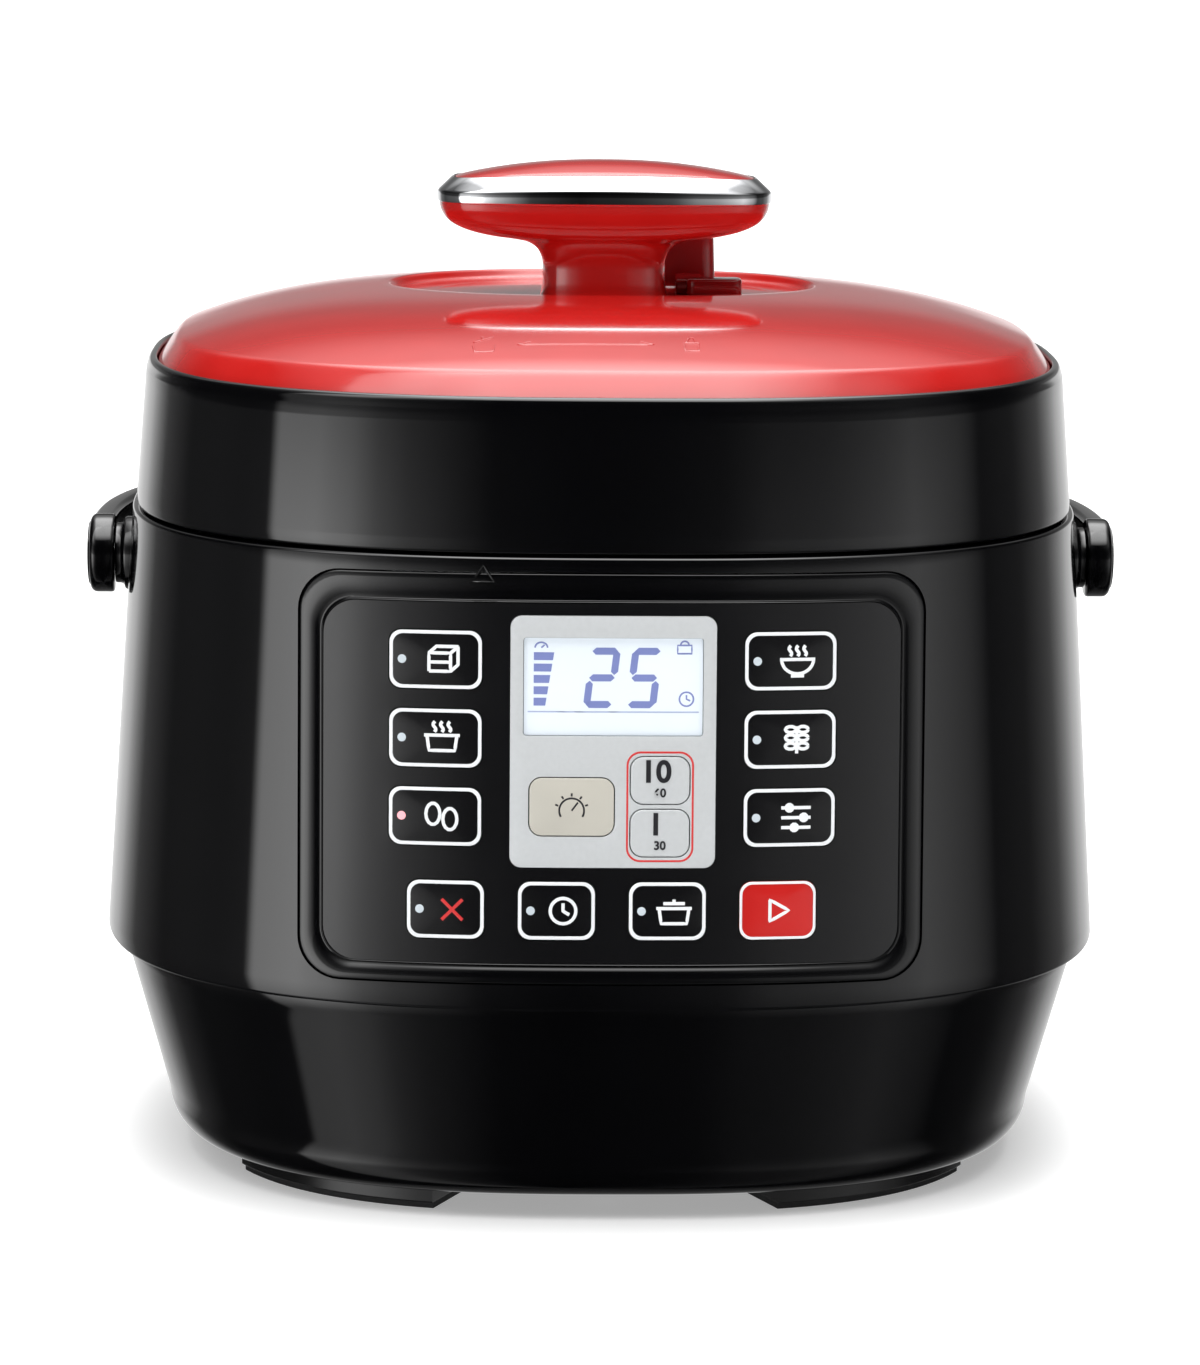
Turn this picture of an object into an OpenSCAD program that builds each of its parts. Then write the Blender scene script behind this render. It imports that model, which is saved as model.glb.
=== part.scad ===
// Electric pressure cooker: rounded-square housing, twist-and-lift lid, swing bail and push-button panel.
// Millimetres, +Z up, front towards -Y. The origin is on the table, under the axis of the inner pot.

/* [Housing] */
// Full width of the upper housing along its top edge
body_top_w = 243.6; // [240:0.2:300]
// Full width of the upper housing along its bottom edge
body_shoulder_w = 257.4; // [250:0.2:320]
// Full width of the lower housing along its top edge
lower_top_w = 249.8; // [244:0.2:312]
// Full width of the lower housing above its bottom corner
lower_foot_w = 226.4; // [212:0.2:284]
// Height of the seam between the two housings
shoulder_z = 57.2; // [50:0.1:64]
// Height of the seam between the body and the lid
seam_z = 167.5; // [163:0.1:201]
// Depth of the body as a share of its width
depth_ratio = 0.985; // [0.97:0.005:1]
// Power of the rounded-square outline, where 2 is an ellipse
corner_power = 2.65; // [2.4:0.05:3]
// Wall of the housings
wall = 2.8; // [2:0.1:3.4]

/* [Lid] */
// Full width of the lid ring at the seam
ring_bottom_w = 241.8; // [238:0.2:298]
// Full width of the lid ring under its lip
ring_top_w = 236.0; // [230:0.2:292]
// Height of the lid ring
ring_h = 37.5; // [34:0.1:46]
// Full width of the cover at its edge
cover_w = 227.0; // [220:0.2:282]
// Width of the bevel round the cover
cover_bevel = 4.4; // [3:0.1:6]
// Height of the bevel round the cover
cover_bevel_h = 6.4; // [5:0.1:8]
// Rise of the dome above the bevel
dome_h = 10.2; // [7:0.1:12]
// Wall of the cover
cover_wall = 2.6; // [2:0.1:3.4]

/* [Knob] */
// Length of the bar of the knob
knob_w = 86.6; // [80:0.2:104]
// Depth of the bar of the knob
knob_d = 40; // [36:0.2:44]
// Width of the stem of the knob
stem_w = 32; // [28:0.2:36]
// Height of the knob above the lid
knob_h = 35.4; // [32:0.2:42]

/* [Pot] */
// Inner radius of the pot
pot_r = 88; // [80:0.5:88]
// Wall of the pot
pot_wall = 1.6; // [1.2:0.1:2.2]
// Height of the bottom of the pot above the table
pot_floor_z = 46; // [44:0.5:60]
// Width of the rim of the pot
pot_rim_w = 9; // [7:0.1:9]

/* [Panel] */
// Width of the frame of the control panel
frame_w = 152; // [144:0.5:156]
// Height of the frame of the control panel
frame_h = 99.6; // [97:0.2:103]
// Width of the control panel sheet
sheet_w = 140; // [138:0.5:142]
// Height of the control panel sheet
sheet_h = 87.6; // [86:0.2:89]
// Width of a menu button
menu_w = 22.4; // [18:0.1:24]
// Height of a menu button
menu_h = 14.2; // [12:0.1:15]
// Depth that a button travels
button_travel = 0.6; // [0.4:0.1:0.8]
// Gap round each button
button_gap = 0.25; // [0.2:0.05:0.4]

/* [Bail] */
// Height of the pivot of the bail
pivot_z = 151; // [148:0.5:153]
// Thickness of an arm of the bail
arm_t = 6.3; // [5:0.1:7]
// Height of the band of the bail
arm_h = 19; // [16:0.5:21]
// Radius of the pivot pins
pin_r = 3; // [2.5:0.1:3.5]

/* [Fits] */
// Radial clearance of a pin that turns or slides in a bore
running = 0.05; // [0.03:0.01:0.08]
// Gap between bodies that pass each other
gap = 0.3; // [0.3:0.05:0.5]

/* [Hidden] */

black = "#111113";
red = "#C4221F";
steel = "#B9BDC2";
aluminium = "#A9ACB0";
around = 72;

// Heights that the rest hangs on
seam_gap = 0.6;
deck_top = seam_z - seam_gap / 2;
deck_t = 3;
ring_bottom = seam_z + seam_gap / 2;
ring_top = ring_bottom + ring_h;
foot_h = 6;
corner_h = 8.8;
corner_r = 7.4;
seat_z = deck_top - 7.4;
flange_top = deck_top - deck_t - 0.4;

// Radii that fit round the pot
pot_out_r = pot_r + pot_wall;
rim_r = pot_r + pot_rim_w;
liner_r = pot_out_r + 1.9;
liner_t = 1.2;
seat_r = rim_r + 1.2;
rim_z = seat_z + gap;
rim_t = 2;
plate_r = rim_r + 1.5;
lug_r = plate_r + 5.4;
ring_lug_r = plate_r + 1.1;
ring_wall_r = lug_r + 0.5;
lock_r = ring_wall_r + 1.5;
flange_r = lock_r + 6;
plate_bottom = rim_z + rim_t + 2 * gap + 2.7;
plate_t = 3.5;
ring_lug_z = plate_bottom + plate_t + 0.8;
ring_lug_t = 2.5;
lugs = 6;
lug_pitch = 360 / lugs;

// Half-width of each housing at a height
function upper_a(z) = body_shoulder_w / 2
    + (body_top_w - body_shoulder_w) / 2 * (z - shoulder_z) / (seam_z - shoulder_z);
corner_z = foot_h + corner_h;
function lower_a(z) = lower_foot_w / 2
    + (lower_top_w - lower_foot_w) / 2 * (z - corner_z) / (shoulder_z - corner_z);
function ring_a(z) = ring_bottom_w / 2
    + (ring_top_w - ring_bottom_w) / 2 * (z - ring_bottom) / ring_h;

// Rounded-square outline of half-width a and half-depth b
function power(v, e) = sign(v) * pow(abs(v), e);
function outline_point(a, b, t, p) = [a * power(cos(t), 2 / p), b * power(sin(t), 2 / p)];
function outline(a, b = undef, p = corner_power, n = around) =
    [for (i = [0 : n - 1]) outline_point(a, is_undef(b) ? a * depth_ratio : b, i * 360 / n, p)];
function rings(list) =
    [for (r = list) [for (q = outline(r[0])) [q[0], q[1], r[1]]]];
function knob_rings(list) =
    [for (r = list) [for (q = outline(r[0], r[1], 3, 48)) [q[0], q[1], r[2]]]];

// A solid through a list of rings with equal counts; a closed one joins its last ring to its first
module loft(list, closed = false) {
    n = len(list[0]);
    m = len(list);
    steps = closed ? m : m - 1;
    sides = [for (j = [0 : steps - 1], i = [0 : n - 1])
        [j * n + i, ((j + 1) % m) * n + i, ((j + 1) % m) * n + (i + 1) % n, j * n + (i + 1) % n]];
    caps = closed ? [] : [[for (i = [0 : n - 1]) i], [for (i = [n - 1 : -1 : 0]) (m - 1) * n + i]];
    polyhedron(points = [for (r = list, q = r) q], faces = concat(sides, caps), convexity = 8);
}

// Rectangle of width w and height h with corners of radius r, centred on x, y
function rounded(x, y, w, h, r, n = 5) = [for (c = [0 : 3], i = [0 : n])
    let (t = c * 90 + i * 90 / n,
         sx = (c == 0 || c == 3) ? 1 : -1,
         sy = c < 2 ? 1 : -1)
    [x + sx * (w / 2 - r) + r * cos(t), y + sy * (h / 2 - r) + r * sin(t)]];

module tube(r_out, r_in, z0, z1) {
    rotate_extrude($fn = 96)
        polygon([[r_in, z0], [r_out, z0], [r_out, z1], [r_in, z1]]);
}

module rod(r, z0, z1) {
    translate([0, 0, z0])
        cylinder(r = r, h = z1 - z0, $fn = 48);
}

// A rod along X from x0 to x1
module rod_x(r, x0, x1) {
    translate([x0, 0, 0])
        rotate([0, 90, 0])
            cylinder(r = r, h = x1 - x0, $fn = 48);
}

// ---------- Housings ----------
floor_a = 84;
bolt_r = floor_a + 4.5;
bolt_xy = [for (t = [0 : 90 : 270]) [bolt_r * cos(t), bolt_r * sin(t)]];

module upper_housing() {
    hole_a = (lock_r + 0.5) / depth_ratio;
    top_in = deck_top - deck_t;
    color(black)
        difference() {
            loft(rings([
                [upper_a(shoulder_z) - 0.5, shoulder_z + 0.2], [upper_a(shoulder_z), shoulder_z + 0.9],
                [upper_a(deck_top - 0.8), deck_top - 0.8], [upper_a(deck_top) - 0.8, deck_top],
                [hole_a, deck_top], [hole_a, top_in],
                [upper_a(top_in) - wall, top_in], [upper_a(shoulder_z) - wall, shoulder_z + 0.2]
            ]), closed = true);
            on_panel()
                panel_prism(0, 0, frame_w + 0.5, frame_h + 0.5, frame_r + 0.25);
            translate([0, 0, pivot_z])
                rod_x(boss_r + 0.1, -upper_a(0), upper_a(0));
            translate([-inlet_w / 2 - 0.2, 0, inlet_z - inlet_h / 2 - 0.2])
                cube([inlet_w + 0.4, body_shoulder_w, inlet_h + 0.4]);
        }
}

module lower_housing() {
    top = shoulder_z - 0.2;
    lip_top = shoulder_z + 4.6;
    foot_a = lower_a(corner_z);
    color(black)
        difference() {
            loft(rings(concat(
                [[lower_a(top), top]],
                [for (t = [0 : 15 : 90]) [foot_a - corner_r * (1 - cos(t)), corner_z - corner_h * sin(t)]],
                [[floor_a, foot_h], [floor_a, foot_h + wall]],
                [[foot_a - corner_r, foot_h + wall], [foot_a - wall - 1, corner_z]],
                [[lower_a(top) - wall - 0.8, top - 3], [lower_a(top) - wall - 0.8, lip_top]],
                [[lower_a(top) - 0.8, lip_top], [lower_a(top) - 0.8, top]]
            )), closed = true);
            for (p = bolt_xy)
                translate(p)
                    rod(1.7, 0, 12);
        }
}

module base_plate() {
    slot_w = 36;
    color(black)
        difference() {
            translate([0, 0, foot_h + wall + 0.05])
                linear_extrude(2.4)
                    difference() {
                        polygon(outline(floor_a + 10));
                        for (i = [-3 : 3])
                            translate([-slot_w / 2, i * 9 - 1.6])
                                square([slot_w, 3.2]);
                    }
            for (p = bolt_xy)
                translate(p)
                    rod(1.5, 0, 14);
        }
}

module base_screws() {
    color(steel)
        for (p = bolt_xy)
            translate(p) {
                rod(1.45, foot_h - 0.05, foot_h + wall + 2.4);
                rod(3, foot_h - 1.8, foot_h - 0.05);
            }
}

// One foot: a stretch of the outline band between two angles
module foot_band(a_out, a_in, t0, t1, z0, z1) {
    n = 10;
    outer = [for (i = [0 : n]) outline_point(a_out, a_out * depth_ratio, t0 + (t1 - t0) * i / n, corner_power)];
    inner = [for (i = [n : -1 : 0]) outline_point(a_in, a_in * depth_ratio, t0 + (t1 - t0) * i / n, corner_power)];
    translate([0, 0, z0])
        linear_extrude(z1 - z0)
            polygon(concat(outer, inner));
}

foot_a = lower_foot_w / 2 - 10.6;
foot_w = 19;
pad_t = 1.6;

module feet() {
    color(black)
        for (q = [0 : 3])
            rotate([0, 0, q < 2 ? 0 : 180])
                mirror([q % 2, 0, 0])
                    foot_band(foot_a, foot_a - foot_w, 211, 248, pad_t, foot_h);
}

module foot_pads() {
    color("#2A2A2C")
        for (q = [0 : 3])
            rotate([0, 0, q < 2 ? 0 : 180])
                mirror([q % 2, 0, 0])
                    foot_band(foot_a - 0.8, foot_a - foot_w + 0.8, 212, 247, 0, pad_t);
}

// ---------- Pot, liner and lock ----------
module pot_liner() {
    bottom = pot_floor_z - 16;
    hole_r = pot_out_r - 13.6;
    color(steel)
        rotate_extrude($fn = 96)
            polygon([
                [hole_r, bottom], [liner_r + liner_t, bottom], [liner_r + liner_t, seat_z - liner_t],
                [seat_r + liner_t, seat_z - liner_t], [seat_r + liner_t, flange_top - liner_t],
                [flange_r, flange_top - liner_t], [flange_r, flange_top], [seat_r, flange_top],
                [seat_r, seat_z], [liner_r, seat_z], [liner_r, bottom + liner_t],
                [hole_r, bottom + liner_t]
            ]);
}

// A sector of a ring, centred on angle 0
module sector(r_in, r_out, width, z0, z1) {
    translate([0, 0, z0])
        rotate([0, 0, -width / 2])
            rotate_extrude(angle = width, $fn = 96)
                translate([r_in, 0])
                    square([r_out - r_in, z1 - z0]);
}

module lock_ring() {
    color(steel) {
        tube(lock_r, ring_wall_r, flange_top, ring_lug_z + ring_lug_t);
        for (i = [0 : lugs - 1])
            rotate([0, 0, lug_pitch * (i + 0.5)])
                sector(ring_lug_r, ring_wall_r, lug_pitch * 0.4, ring_lug_z, ring_lug_z + ring_lug_t);
    }
}

module inner_pot() {
    round_r = 12;
    in_r = round_r - pot_wall;
    color("#8E9196")
        rotate_extrude($fn = 96)
            polygon(concat(
                [[0, pot_floor_z]],
                [for (t = [-90 : 15 : 0])
                    [pot_out_r - round_r + round_r * cos(t), pot_floor_z + round_r + round_r * sin(t)]],
                [[pot_out_r, rim_z], [rim_r, rim_z], [rim_r, rim_z + rim_t], [pot_r, rim_z + rim_t]],
                [for (t = [0 : -15 : -90])
                    [pot_out_r - round_r + in_r * cos(t), pot_floor_z + round_r + in_r * sin(t)]],
                [[0, pot_floor_z + pot_wall]]
            ));
}

// ---------- Heater and sensor ----------
heater_r = pot_out_r - 19.6;
heater_top = pot_floor_z - gap;
heater_t = 8.6;
leg_r = pot_out_r - 7.6;
sensor_hole = 12;

module heater_plate() {
    bottom = heater_top - heater_t;
    color(aluminium) {
        tube(heater_r, sensor_hole, bottom, heater_top);
        for (t = [90, 210, 330])
            rotate([0, 0, t])
                difference() {
                    translate([heater_r - 2, -6, bottom])
                        cube([leg_r - heater_r + 6, 12, 3]);
                    translate([leg_r, 0, 0])
                        rod(2, bottom - 1, bottom + 5);
                }
    }
}

module heater_legs() {
    bottom = heater_top - heater_t;
    color(steel)
        for (t = [90, 210, 330])
            rotate([0, 0, t])
                translate([leg_r, 0, 0]) {
                    rod(3.6, pot_floor_z - 16 + liner_t, bottom);
                    rod(1.95, bottom, bottom + 3.4);
                }
}

module heating_element() {
    tube_r = 3.3;
    z = heater_top - heater_t - tube_r - 0.1;
    color("#6E6A66")
        rotate([0, 0, 105])
            rotate_extrude(angle = 330, $fn = 72)
                translate([heater_r * 0.74, z])
                    circle(r = tube_r, $fn = 24);
}

sensor_top = pot_floor_z - gap;
sensor_cap_t = 5;
spring_top = sensor_top - sensor_cap_t;
spring_bottom = spring_top - 13;
shaft_r = 4;

module sensor_cup() {
    cup_top = heater_top - heater_t - 0.1;
    color(steel)
        rotate_extrude($fn = 64)
            polygon([
                [shaft_r + running, spring_bottom - 1.4], [11, spring_bottom - 1.4], [11, cup_top - 1.2],
                [20, cup_top - 1.2], [20, cup_top], [9.6, cup_top], [9.6, spring_bottom - 0.2],
                [shaft_r + running, spring_bottom - 0.2]
            ]);
}

module sensor_spring() {
    wire_r = 0.55;
    coil_r = 6.6;
    turns = 5;
    steps = 14;
    sides = 6;
    rise = spring_top - spring_bottom - 2 * wire_r - 0.3;
    count = turns * steps;
    color(steel)
        loft([for (k = [0 : count])
            [for (s = [0 : sides - 1])
                let (t = k * 360 / steps, r = coil_r + wire_r * cos(s * 360 / sides))
                [r * cos(t), r * sin(t),
                 spring_bottom + wire_r + rise * k / count + wire_r * sin(s * 360 / sides)]]]);
}

module temp_sensor() {
    color(steel) {
        rod(10, spring_top, sensor_top);
        rod(shaft_r, spring_bottom - 5, spring_top);
    }
}

module thermal_fuse() {
    z = heater_top - heater_t - 3.2;
    color("#D9D4C4")
        translate([0, -30, z])
            rod_x(2.6, -8, 8);
    color(steel)
        translate([0, -30, z])
            for (sx = [-1, 1])
                rod_x(0.7, sx > 0 ? 8 : -16, sx > 0 ? 16 : -8);
}

// ---------- Electrics ----------
board_z = foot_h + wall + 6;

module power_board() {
    color("#2F6B3C")
        translate([-52, 14, board_z])
            cube([104, 46, 1.6]);
    color("#333336") {
        translate([-46, 20, board_z + 1.6])
            cube([24, 30, 11]);
        translate([-16, 26, board_z + 1.6])
            cube([20, 22, 9]);
        for (i = [0 : 2])
            translate([14 + i * 12, 30, 0])
                rod(4.5, board_z + 1.6, board_z + 11);
    }
    color("#D8D8D2")
        for (sx = [-48, 48], y = [17.5, 56])
            translate([sx, y, 0])
                rod(2.2, foot_h + wall + 2.45, board_z);
}

inlet_w = 38;
inlet_h = 26;
inlet_z = shoulder_z + 24;
inlet_back = depth_ratio * upper_a(inlet_z + inlet_h / 2) + 1;
inlet_depth = 16;
socket_w = 28;
socket_h = 16;
socket_depth = 12;

module power_inlet() {
    color("#1A1A1C")
        difference() {
            translate([-inlet_w / 2, inlet_back - inlet_depth, inlet_z - inlet_h / 2])
                cube([inlet_w, inlet_depth, inlet_h]);
            translate([-socket_w / 2, inlet_back - socket_depth, inlet_z - socket_h / 2])
                cube([socket_w, socket_depth + 1, socket_h]);
            for (sx = [-1, 1])
                translate([sx * 7, inlet_back - inlet_depth - 1, inlet_z])
                    rotate([-90, 0, 0])
                        cylinder(r = 2.02, h = inlet_depth, $fn = 32);
        }
}

module inlet_pins() {
    color("#C9A34E")
        for (sx = [-1, 1])
            translate([sx * 7, inlet_back - inlet_depth - 3, inlet_z])
                rotate([-90, 0, 0])
                    cylinder(r = 2, h = inlet_depth, $fn = 32);
}

// ---------- Control panel ----------
panel_z = (shoulder_z + seam_z) / 2 + 1.4;
panel_a = upper_a(panel_z);
panel_tilt = atan(depth_ratio * (body_shoulder_w - body_top_w) / 2 / (seam_z - shoulder_z));
frame_r = 10;
sheet_r = 8;
ledge = 3;
frame_back = wall + 4.2;
frame_flange = wall + 2.2;
sheet_front = 0.7;
sheet_t = 2;
sheet_back = sheet_front + sheet_t;
sheet_dz = -1.2;
button_front = 0.4;
flange_t = 1.2;
board_y = 12.6;
switch_t = 1.5;

// Local frame of the panel: X across, Z up the slope of the face, +Y into the body
module on_panel() {
    translate([0, -depth_ratio * panel_a, panel_z])
        rotate([-panel_tilt, 0, 0])
            children();
}

// How far the curved face has dropped back at x
function face_drop(x) = depth_ratio * panel_a
    * (1 - pow(1 - pow(abs(x) / panel_a, corner_power), 1 / corner_power));

// A sheet that follows the curved face, between two depths below it
module face_sheet(x0, x1, z0, z1, d0, d1) {
    n = max(2, round((x1 - x0) / 5));
    xs = [for (i = [0 : n]) x0 + (x1 - x0) * i / n];
    translate([0, 0, z0])
        linear_extrude(z1 - z0)
            polygon(concat([for (x = xs) [x, face_drop(x) + d0]],
                [for (i = [n : -1 : 0]) [xs[i], face_drop(xs[i]) + d1]]));
}

module panel_prism(x, z, w, h, r) {
    rotate([90, 0, 0])
        linear_extrude(80, center = true)
            polygon(rounded(x, z, w, h, r));
}

module face_pad(x, z, w, h, r, d0, d1) {
    intersection() {
        face_sheet(x - w / 2 - 1, x + w / 2 + 1, z - h / 2 - 1, z + h / 2 + 1, d0, d1);
        panel_prism(x, z, w, h, r);
    }
}

// Name, centre, width and height of each button, on the panel's own axes
menu_x = 42.8;
row_z = [28.7, 9.7, -9.3];
low_w = 18.7;
low_z = -31.9;
low_x = 13.4;
buttons = [
    ["button_left_top", -menu_x, row_z[0], menu_w, menu_h],
    ["button_left_middle", -menu_x, row_z[1], menu_w, menu_h],
    ["button_left_bottom", -menu_x, row_z[2], menu_w, menu_h],
    ["button_right_top", menu_x, row_z[0], menu_w, menu_h],
    ["button_right_middle", menu_x, row_z[1], menu_w, menu_h],
    ["button_right_bottom", menu_x, row_z[2], menu_w, menu_h],
    ["button_cancel", -3 * low_x, low_z, low_w, menu_h],
    ["button_timer", -low_x, low_z, low_w, menu_h],
    ["button_mode", low_x, low_z, low_w, menu_h],
    ["button_start", 3 * low_x, low_z, low_w, menu_h],
    ["button_pressure", -9.9, -6.6, 20.4, 14],
    ["button_ten_minutes", 11.4, -0.1, 14.2, 11.4],
    ["button_one_minute", 11.4, -12.9, 14.2, 11.4]
];
button_r = 3;
bezel_w = 49.6;
bezel_h = 61;
bezel_z = 9.1;
window_w = 43.4;
window_h = 23.8;
window_z = 22.4;
lit = [0, 1, 2, 3, 4, 5, 6, 7, 8];
pipe_r = 0.9;
function pipe_x(b) = b[1] - b[3] / 2 + 3.1;
function in_bezel(b) = abs(b[1]) < bezel_w / 2 && b[2] > bezel_z - bezel_h / 2;

module panel_frame() {
    color(black)
        on_panel()
            difference() {
                union() {
                    face_pad(0, 0, frame_w, frame_h, frame_r, 0.15, frame_back);
                    face_pad(0, -0.6, frame_w + 5, frame_h, frame_r, frame_flange, frame_back);
                }
                intersection() {
                    face_sheet(-sheet_w / 2 - 2, sheet_w / 2 + 2, -sheet_h, sheet_h, -5, sheet_back + 0.1);
                    panel_prism(0, sheet_dz, sheet_w + 0.3, sheet_h + 0.3, sheet_r + 0.15);
                }
                panel_prism(0, sheet_dz, sheet_w - 2 * ledge, sheet_h - 2 * ledge, sheet_r - 2);
            }
}

module panel_sheet() {
    color("#0C0C0E")
        on_panel()
            difference() {
                face_pad(0, sheet_dz, sheet_w, sheet_h, sheet_r, sheet_front, sheet_back);
                panel_prism(0, bezel_z, bezel_w + 0.2, bezel_h + 0.2, 2.6);
                for (b = buttons)
                    if (!in_bezel(b))
                        panel_prism(b[1], b[2], b[3] + 2 * button_gap, b[4] + 2 * button_gap, button_r);
            }
}

module lcd_bezel() {
    color("#B4B4B6")
        on_panel()
            difference() {
                face_pad(0, bezel_z, bezel_w, bezel_h, 2.5, sheet_front - 0.3, sheet_back);
                panel_prism(0, window_z, window_w, window_h, 0.6);
                for (b = buttons)
                    if (in_bezel(b))
                        panel_prism(b[1], b[2], b[3] + 2 * button_gap, b[4] + 2 * button_gap, button_r);
            }
}

module lcd_glass() {
    color("#C9D6DF")
        on_panel()
            face_pad(0, window_z, window_w - 0.2, window_h - 0.2, 0.5, sheet_front + 0.2, sheet_back);
}

module lcd_module() {
    color("#3C3F42")
        on_panel()
            translate([-23, sheet_back + 1.6, window_z - 13])
                cube([46, 5, 26]);
}

module button_body(b) {
    travel_end = board_y - switch_t - button_travel - 0.15;
    flange_front = sheet_back + 0.15;
    on_panel()
        difference() {
            union() {
                face_pad(b[1], b[2], b[3], b[4], button_r, button_front, flange_front + flange_t);
                face_pad(b[1], b[2], b[3] + 1.6, b[4] + 1, button_r, flange_front, flange_front + flange_t);
                translate([b[1] - 1.5, face_drop(b[1]) + flange_front + flange_t - 0.5, b[2] - 1.5])
                    cube([3, travel_end - face_drop(b[1]) - flange_front - flange_t + 0.5, 3]);
            }
            if (!in_bezel(b) && b[0] != "button_start")
                translate([pipe_x(b), 0, b[2]])
                    rotate([-90, 0, 0])
                        cylinder(r = pipe_r + 0.2, h = 60, center = true, $fn = 24);
        }
}

module control_board() {
    color("#2F6B3C")
        on_panel()
            translate([-60, board_y, -41])
                cube([120, 1.6, 80]);
}

module switch_bank() {
    color("#303034")
        on_panel()
            for (b = buttons)
                translate([b[1] - 2.2, board_y - switch_t, b[2] - 2.2])
                    cube([4.4, switch_t, 4.4]);
}

module light_pipes() {
    color("#E9EDF0")
        on_panel()
            for (i = lit)
                let (b = buttons[i])
                    translate([pipe_x(b), face_drop(pipe_x(b)) + button_front + 0.1, b[2]])
                        rotate([-90, 0, 0])
                            cylinder(r = pipe_r, h = board_y - face_drop(pipe_x(b)) - button_front - 0.1, $fn = 24);
}

// ---------- Bail ----------
boss_r = 8;
boss_face = upper_a(pivot_z) + 4.3;
arm_in = boss_face + gap;
arm_out = arm_in + arm_t;
disc_r = 10.3;
counter_r = 6;
lip_drop = 0.7;
back_in = norm([depth_ratio * (ring_a(ring_top) - lip_drop), ring_top - 1.2 - pivot_z]) + gap;
back_t = 3.6;

module both_sides() {
    for (s = [0, 1])
        mirror([s, 0, 0])
            translate([0, 0, pivot_z])
                children();
}

module pivot_bosses() {
    skin = upper_a(pivot_z);
    color(black)
        both_sides()
            difference() {
                union() {
                    rod_x(boss_r, skin - wall - 3.4, boss_face);
                    rod_x(boss_r + 1.6, skin + 0.8, skin + 2);
                    rod_x(boss_r + 2.4, skin - wall - 3.4, skin - wall - 1.2);
                }
                rod_x(pin_r + 0.02, skin - wall - 5, boss_face + 1);
            }
}

module pivot_pins() {
    skin = upper_a(pivot_z);
    color(steel)
        both_sides() {
            rod_x(pin_r, skin - wall - 4, arm_out - 1.9);
            rod_x(5.4, arm_out - 2, arm_out - 0.6);
        }
}

module bail_handle() {
    // The band's ends stop inside the discs, short of the pivot bores
    end_y = 7;
    n = 36;
    function bail(a, b, t) = outline_point(a, b, t, corner_power);
    outer = [for (i = [0 : n]) bail(arm_out, back_in + back_t, i * 180 / n)];
    inner = [for (i = [n : -1 : 0]) bail(arm_in, back_in, i * 180 / n)];
    color(black) {
        difference() {
            union() {
                translate([0, 0, pivot_z - arm_h / 2])
                    linear_extrude(arm_h)
                        intersection() {
                            polygon(concat(outer, inner));
                            translate([-arm_out - 1, end_y])
                                square([2 * arm_out + 2, back_in + back_t]);
                        }
                both_sides()
                    rod_x(disc_r, arm_in, arm_out);
            }
            both_sides() {
                rod_x(pin_r + running, arm_in - 1, arm_out + 1);
                rod_x(counter_r, arm_out - 2.3, arm_out + 1);
            }
        }
    }
}

module pivot_caps() {
    color(black)
        both_sides() {
            rod_x(counter_r - 0.05, arm_out - 0.4, arm_out);
            rod_x(disc_r - 1.2, arm_out, arm_out + 0.8);
        }
}

// ---------- Lid ----------
lip_t = 1.7;
ledge_z = ring_top - 6.6;
cover_a = cover_w / 2;
cover_edge_z = ring_top - 1.2;
crease_a = cover_a - cover_bevel;
crease_z = cover_edge_z + cover_bevel_h;
dome_top = crease_z + dome_h;
dome_power = 3.4;
function dome_z(a) = dome_top - dome_h * pow(a / crease_a, dome_power);
vent_xy = [19, 33];
float_xy = [-30, 30];
safety_xy = [0, -46];

module lid_ring() {
    color(black)
        loft(rings([
            [ring_a(ring_bottom) - 0.8, ring_bottom], [ring_a(ring_bottom + 0.8), ring_bottom + 0.8],
            [ring_a(ring_top - 4), ring_top - 4], [ring_a(ring_top) - lip_drop, ring_top - 1.2],
            [cover_a + gap + lip_t, ring_top], [cover_a + gap, ring_top - 0.6], [cover_a + gap, ledge_z],
            [cover_a - 5, ledge_z], [cover_a - 5, ledge_z - 2.4], [ring_a(ledge_z) - wall, ledge_z - 4.6],
            [ring_a(ring_bottom) - wall, ring_bottom]
        ]), closed = true);
}

module lid_cover() {
    steps = 7;
    outer = [for (i = [1 : steps]) [crease_a * i / steps, dome_z(crease_a * i / steps)]];
    inner = [for (i = [steps : -1 : 1]) [(crease_a - 1.6) * i / steps, dome_z(crease_a * i / steps) - cover_wall]];
    color(red)
        difference() {
            loft(rings(concat(outer,
                [[cover_a - 0.8, cover_edge_z + 0.9], [cover_a, cover_edge_z], [cover_a, ledge_z + 0.1],
                 [cover_a - wall, ledge_z + 0.1], [cover_a - wall, cover_edge_z - 1.2]],
                inner)));
            translate([0, 14, dome_top - 1.4])
                linear_extrude(6)
                    polygon(rounded(0, 0, 112, 88, 43.9, 10));
            for (sx = [-1, 1])
                translate([sx * screw_x, 0, 0])
                    rod(2.2, dome_top - 10, dome_top + 5);
            translate([vent_xy[0], vent_xy[1], 0])
                rod(9, dome_top - 10, dome_top + 5);
        }
}

frame_z = plate_bottom + plate_t + 9;
screw_ring_r = 70;
screw_angles = [25, 115, 205, 295];

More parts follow.
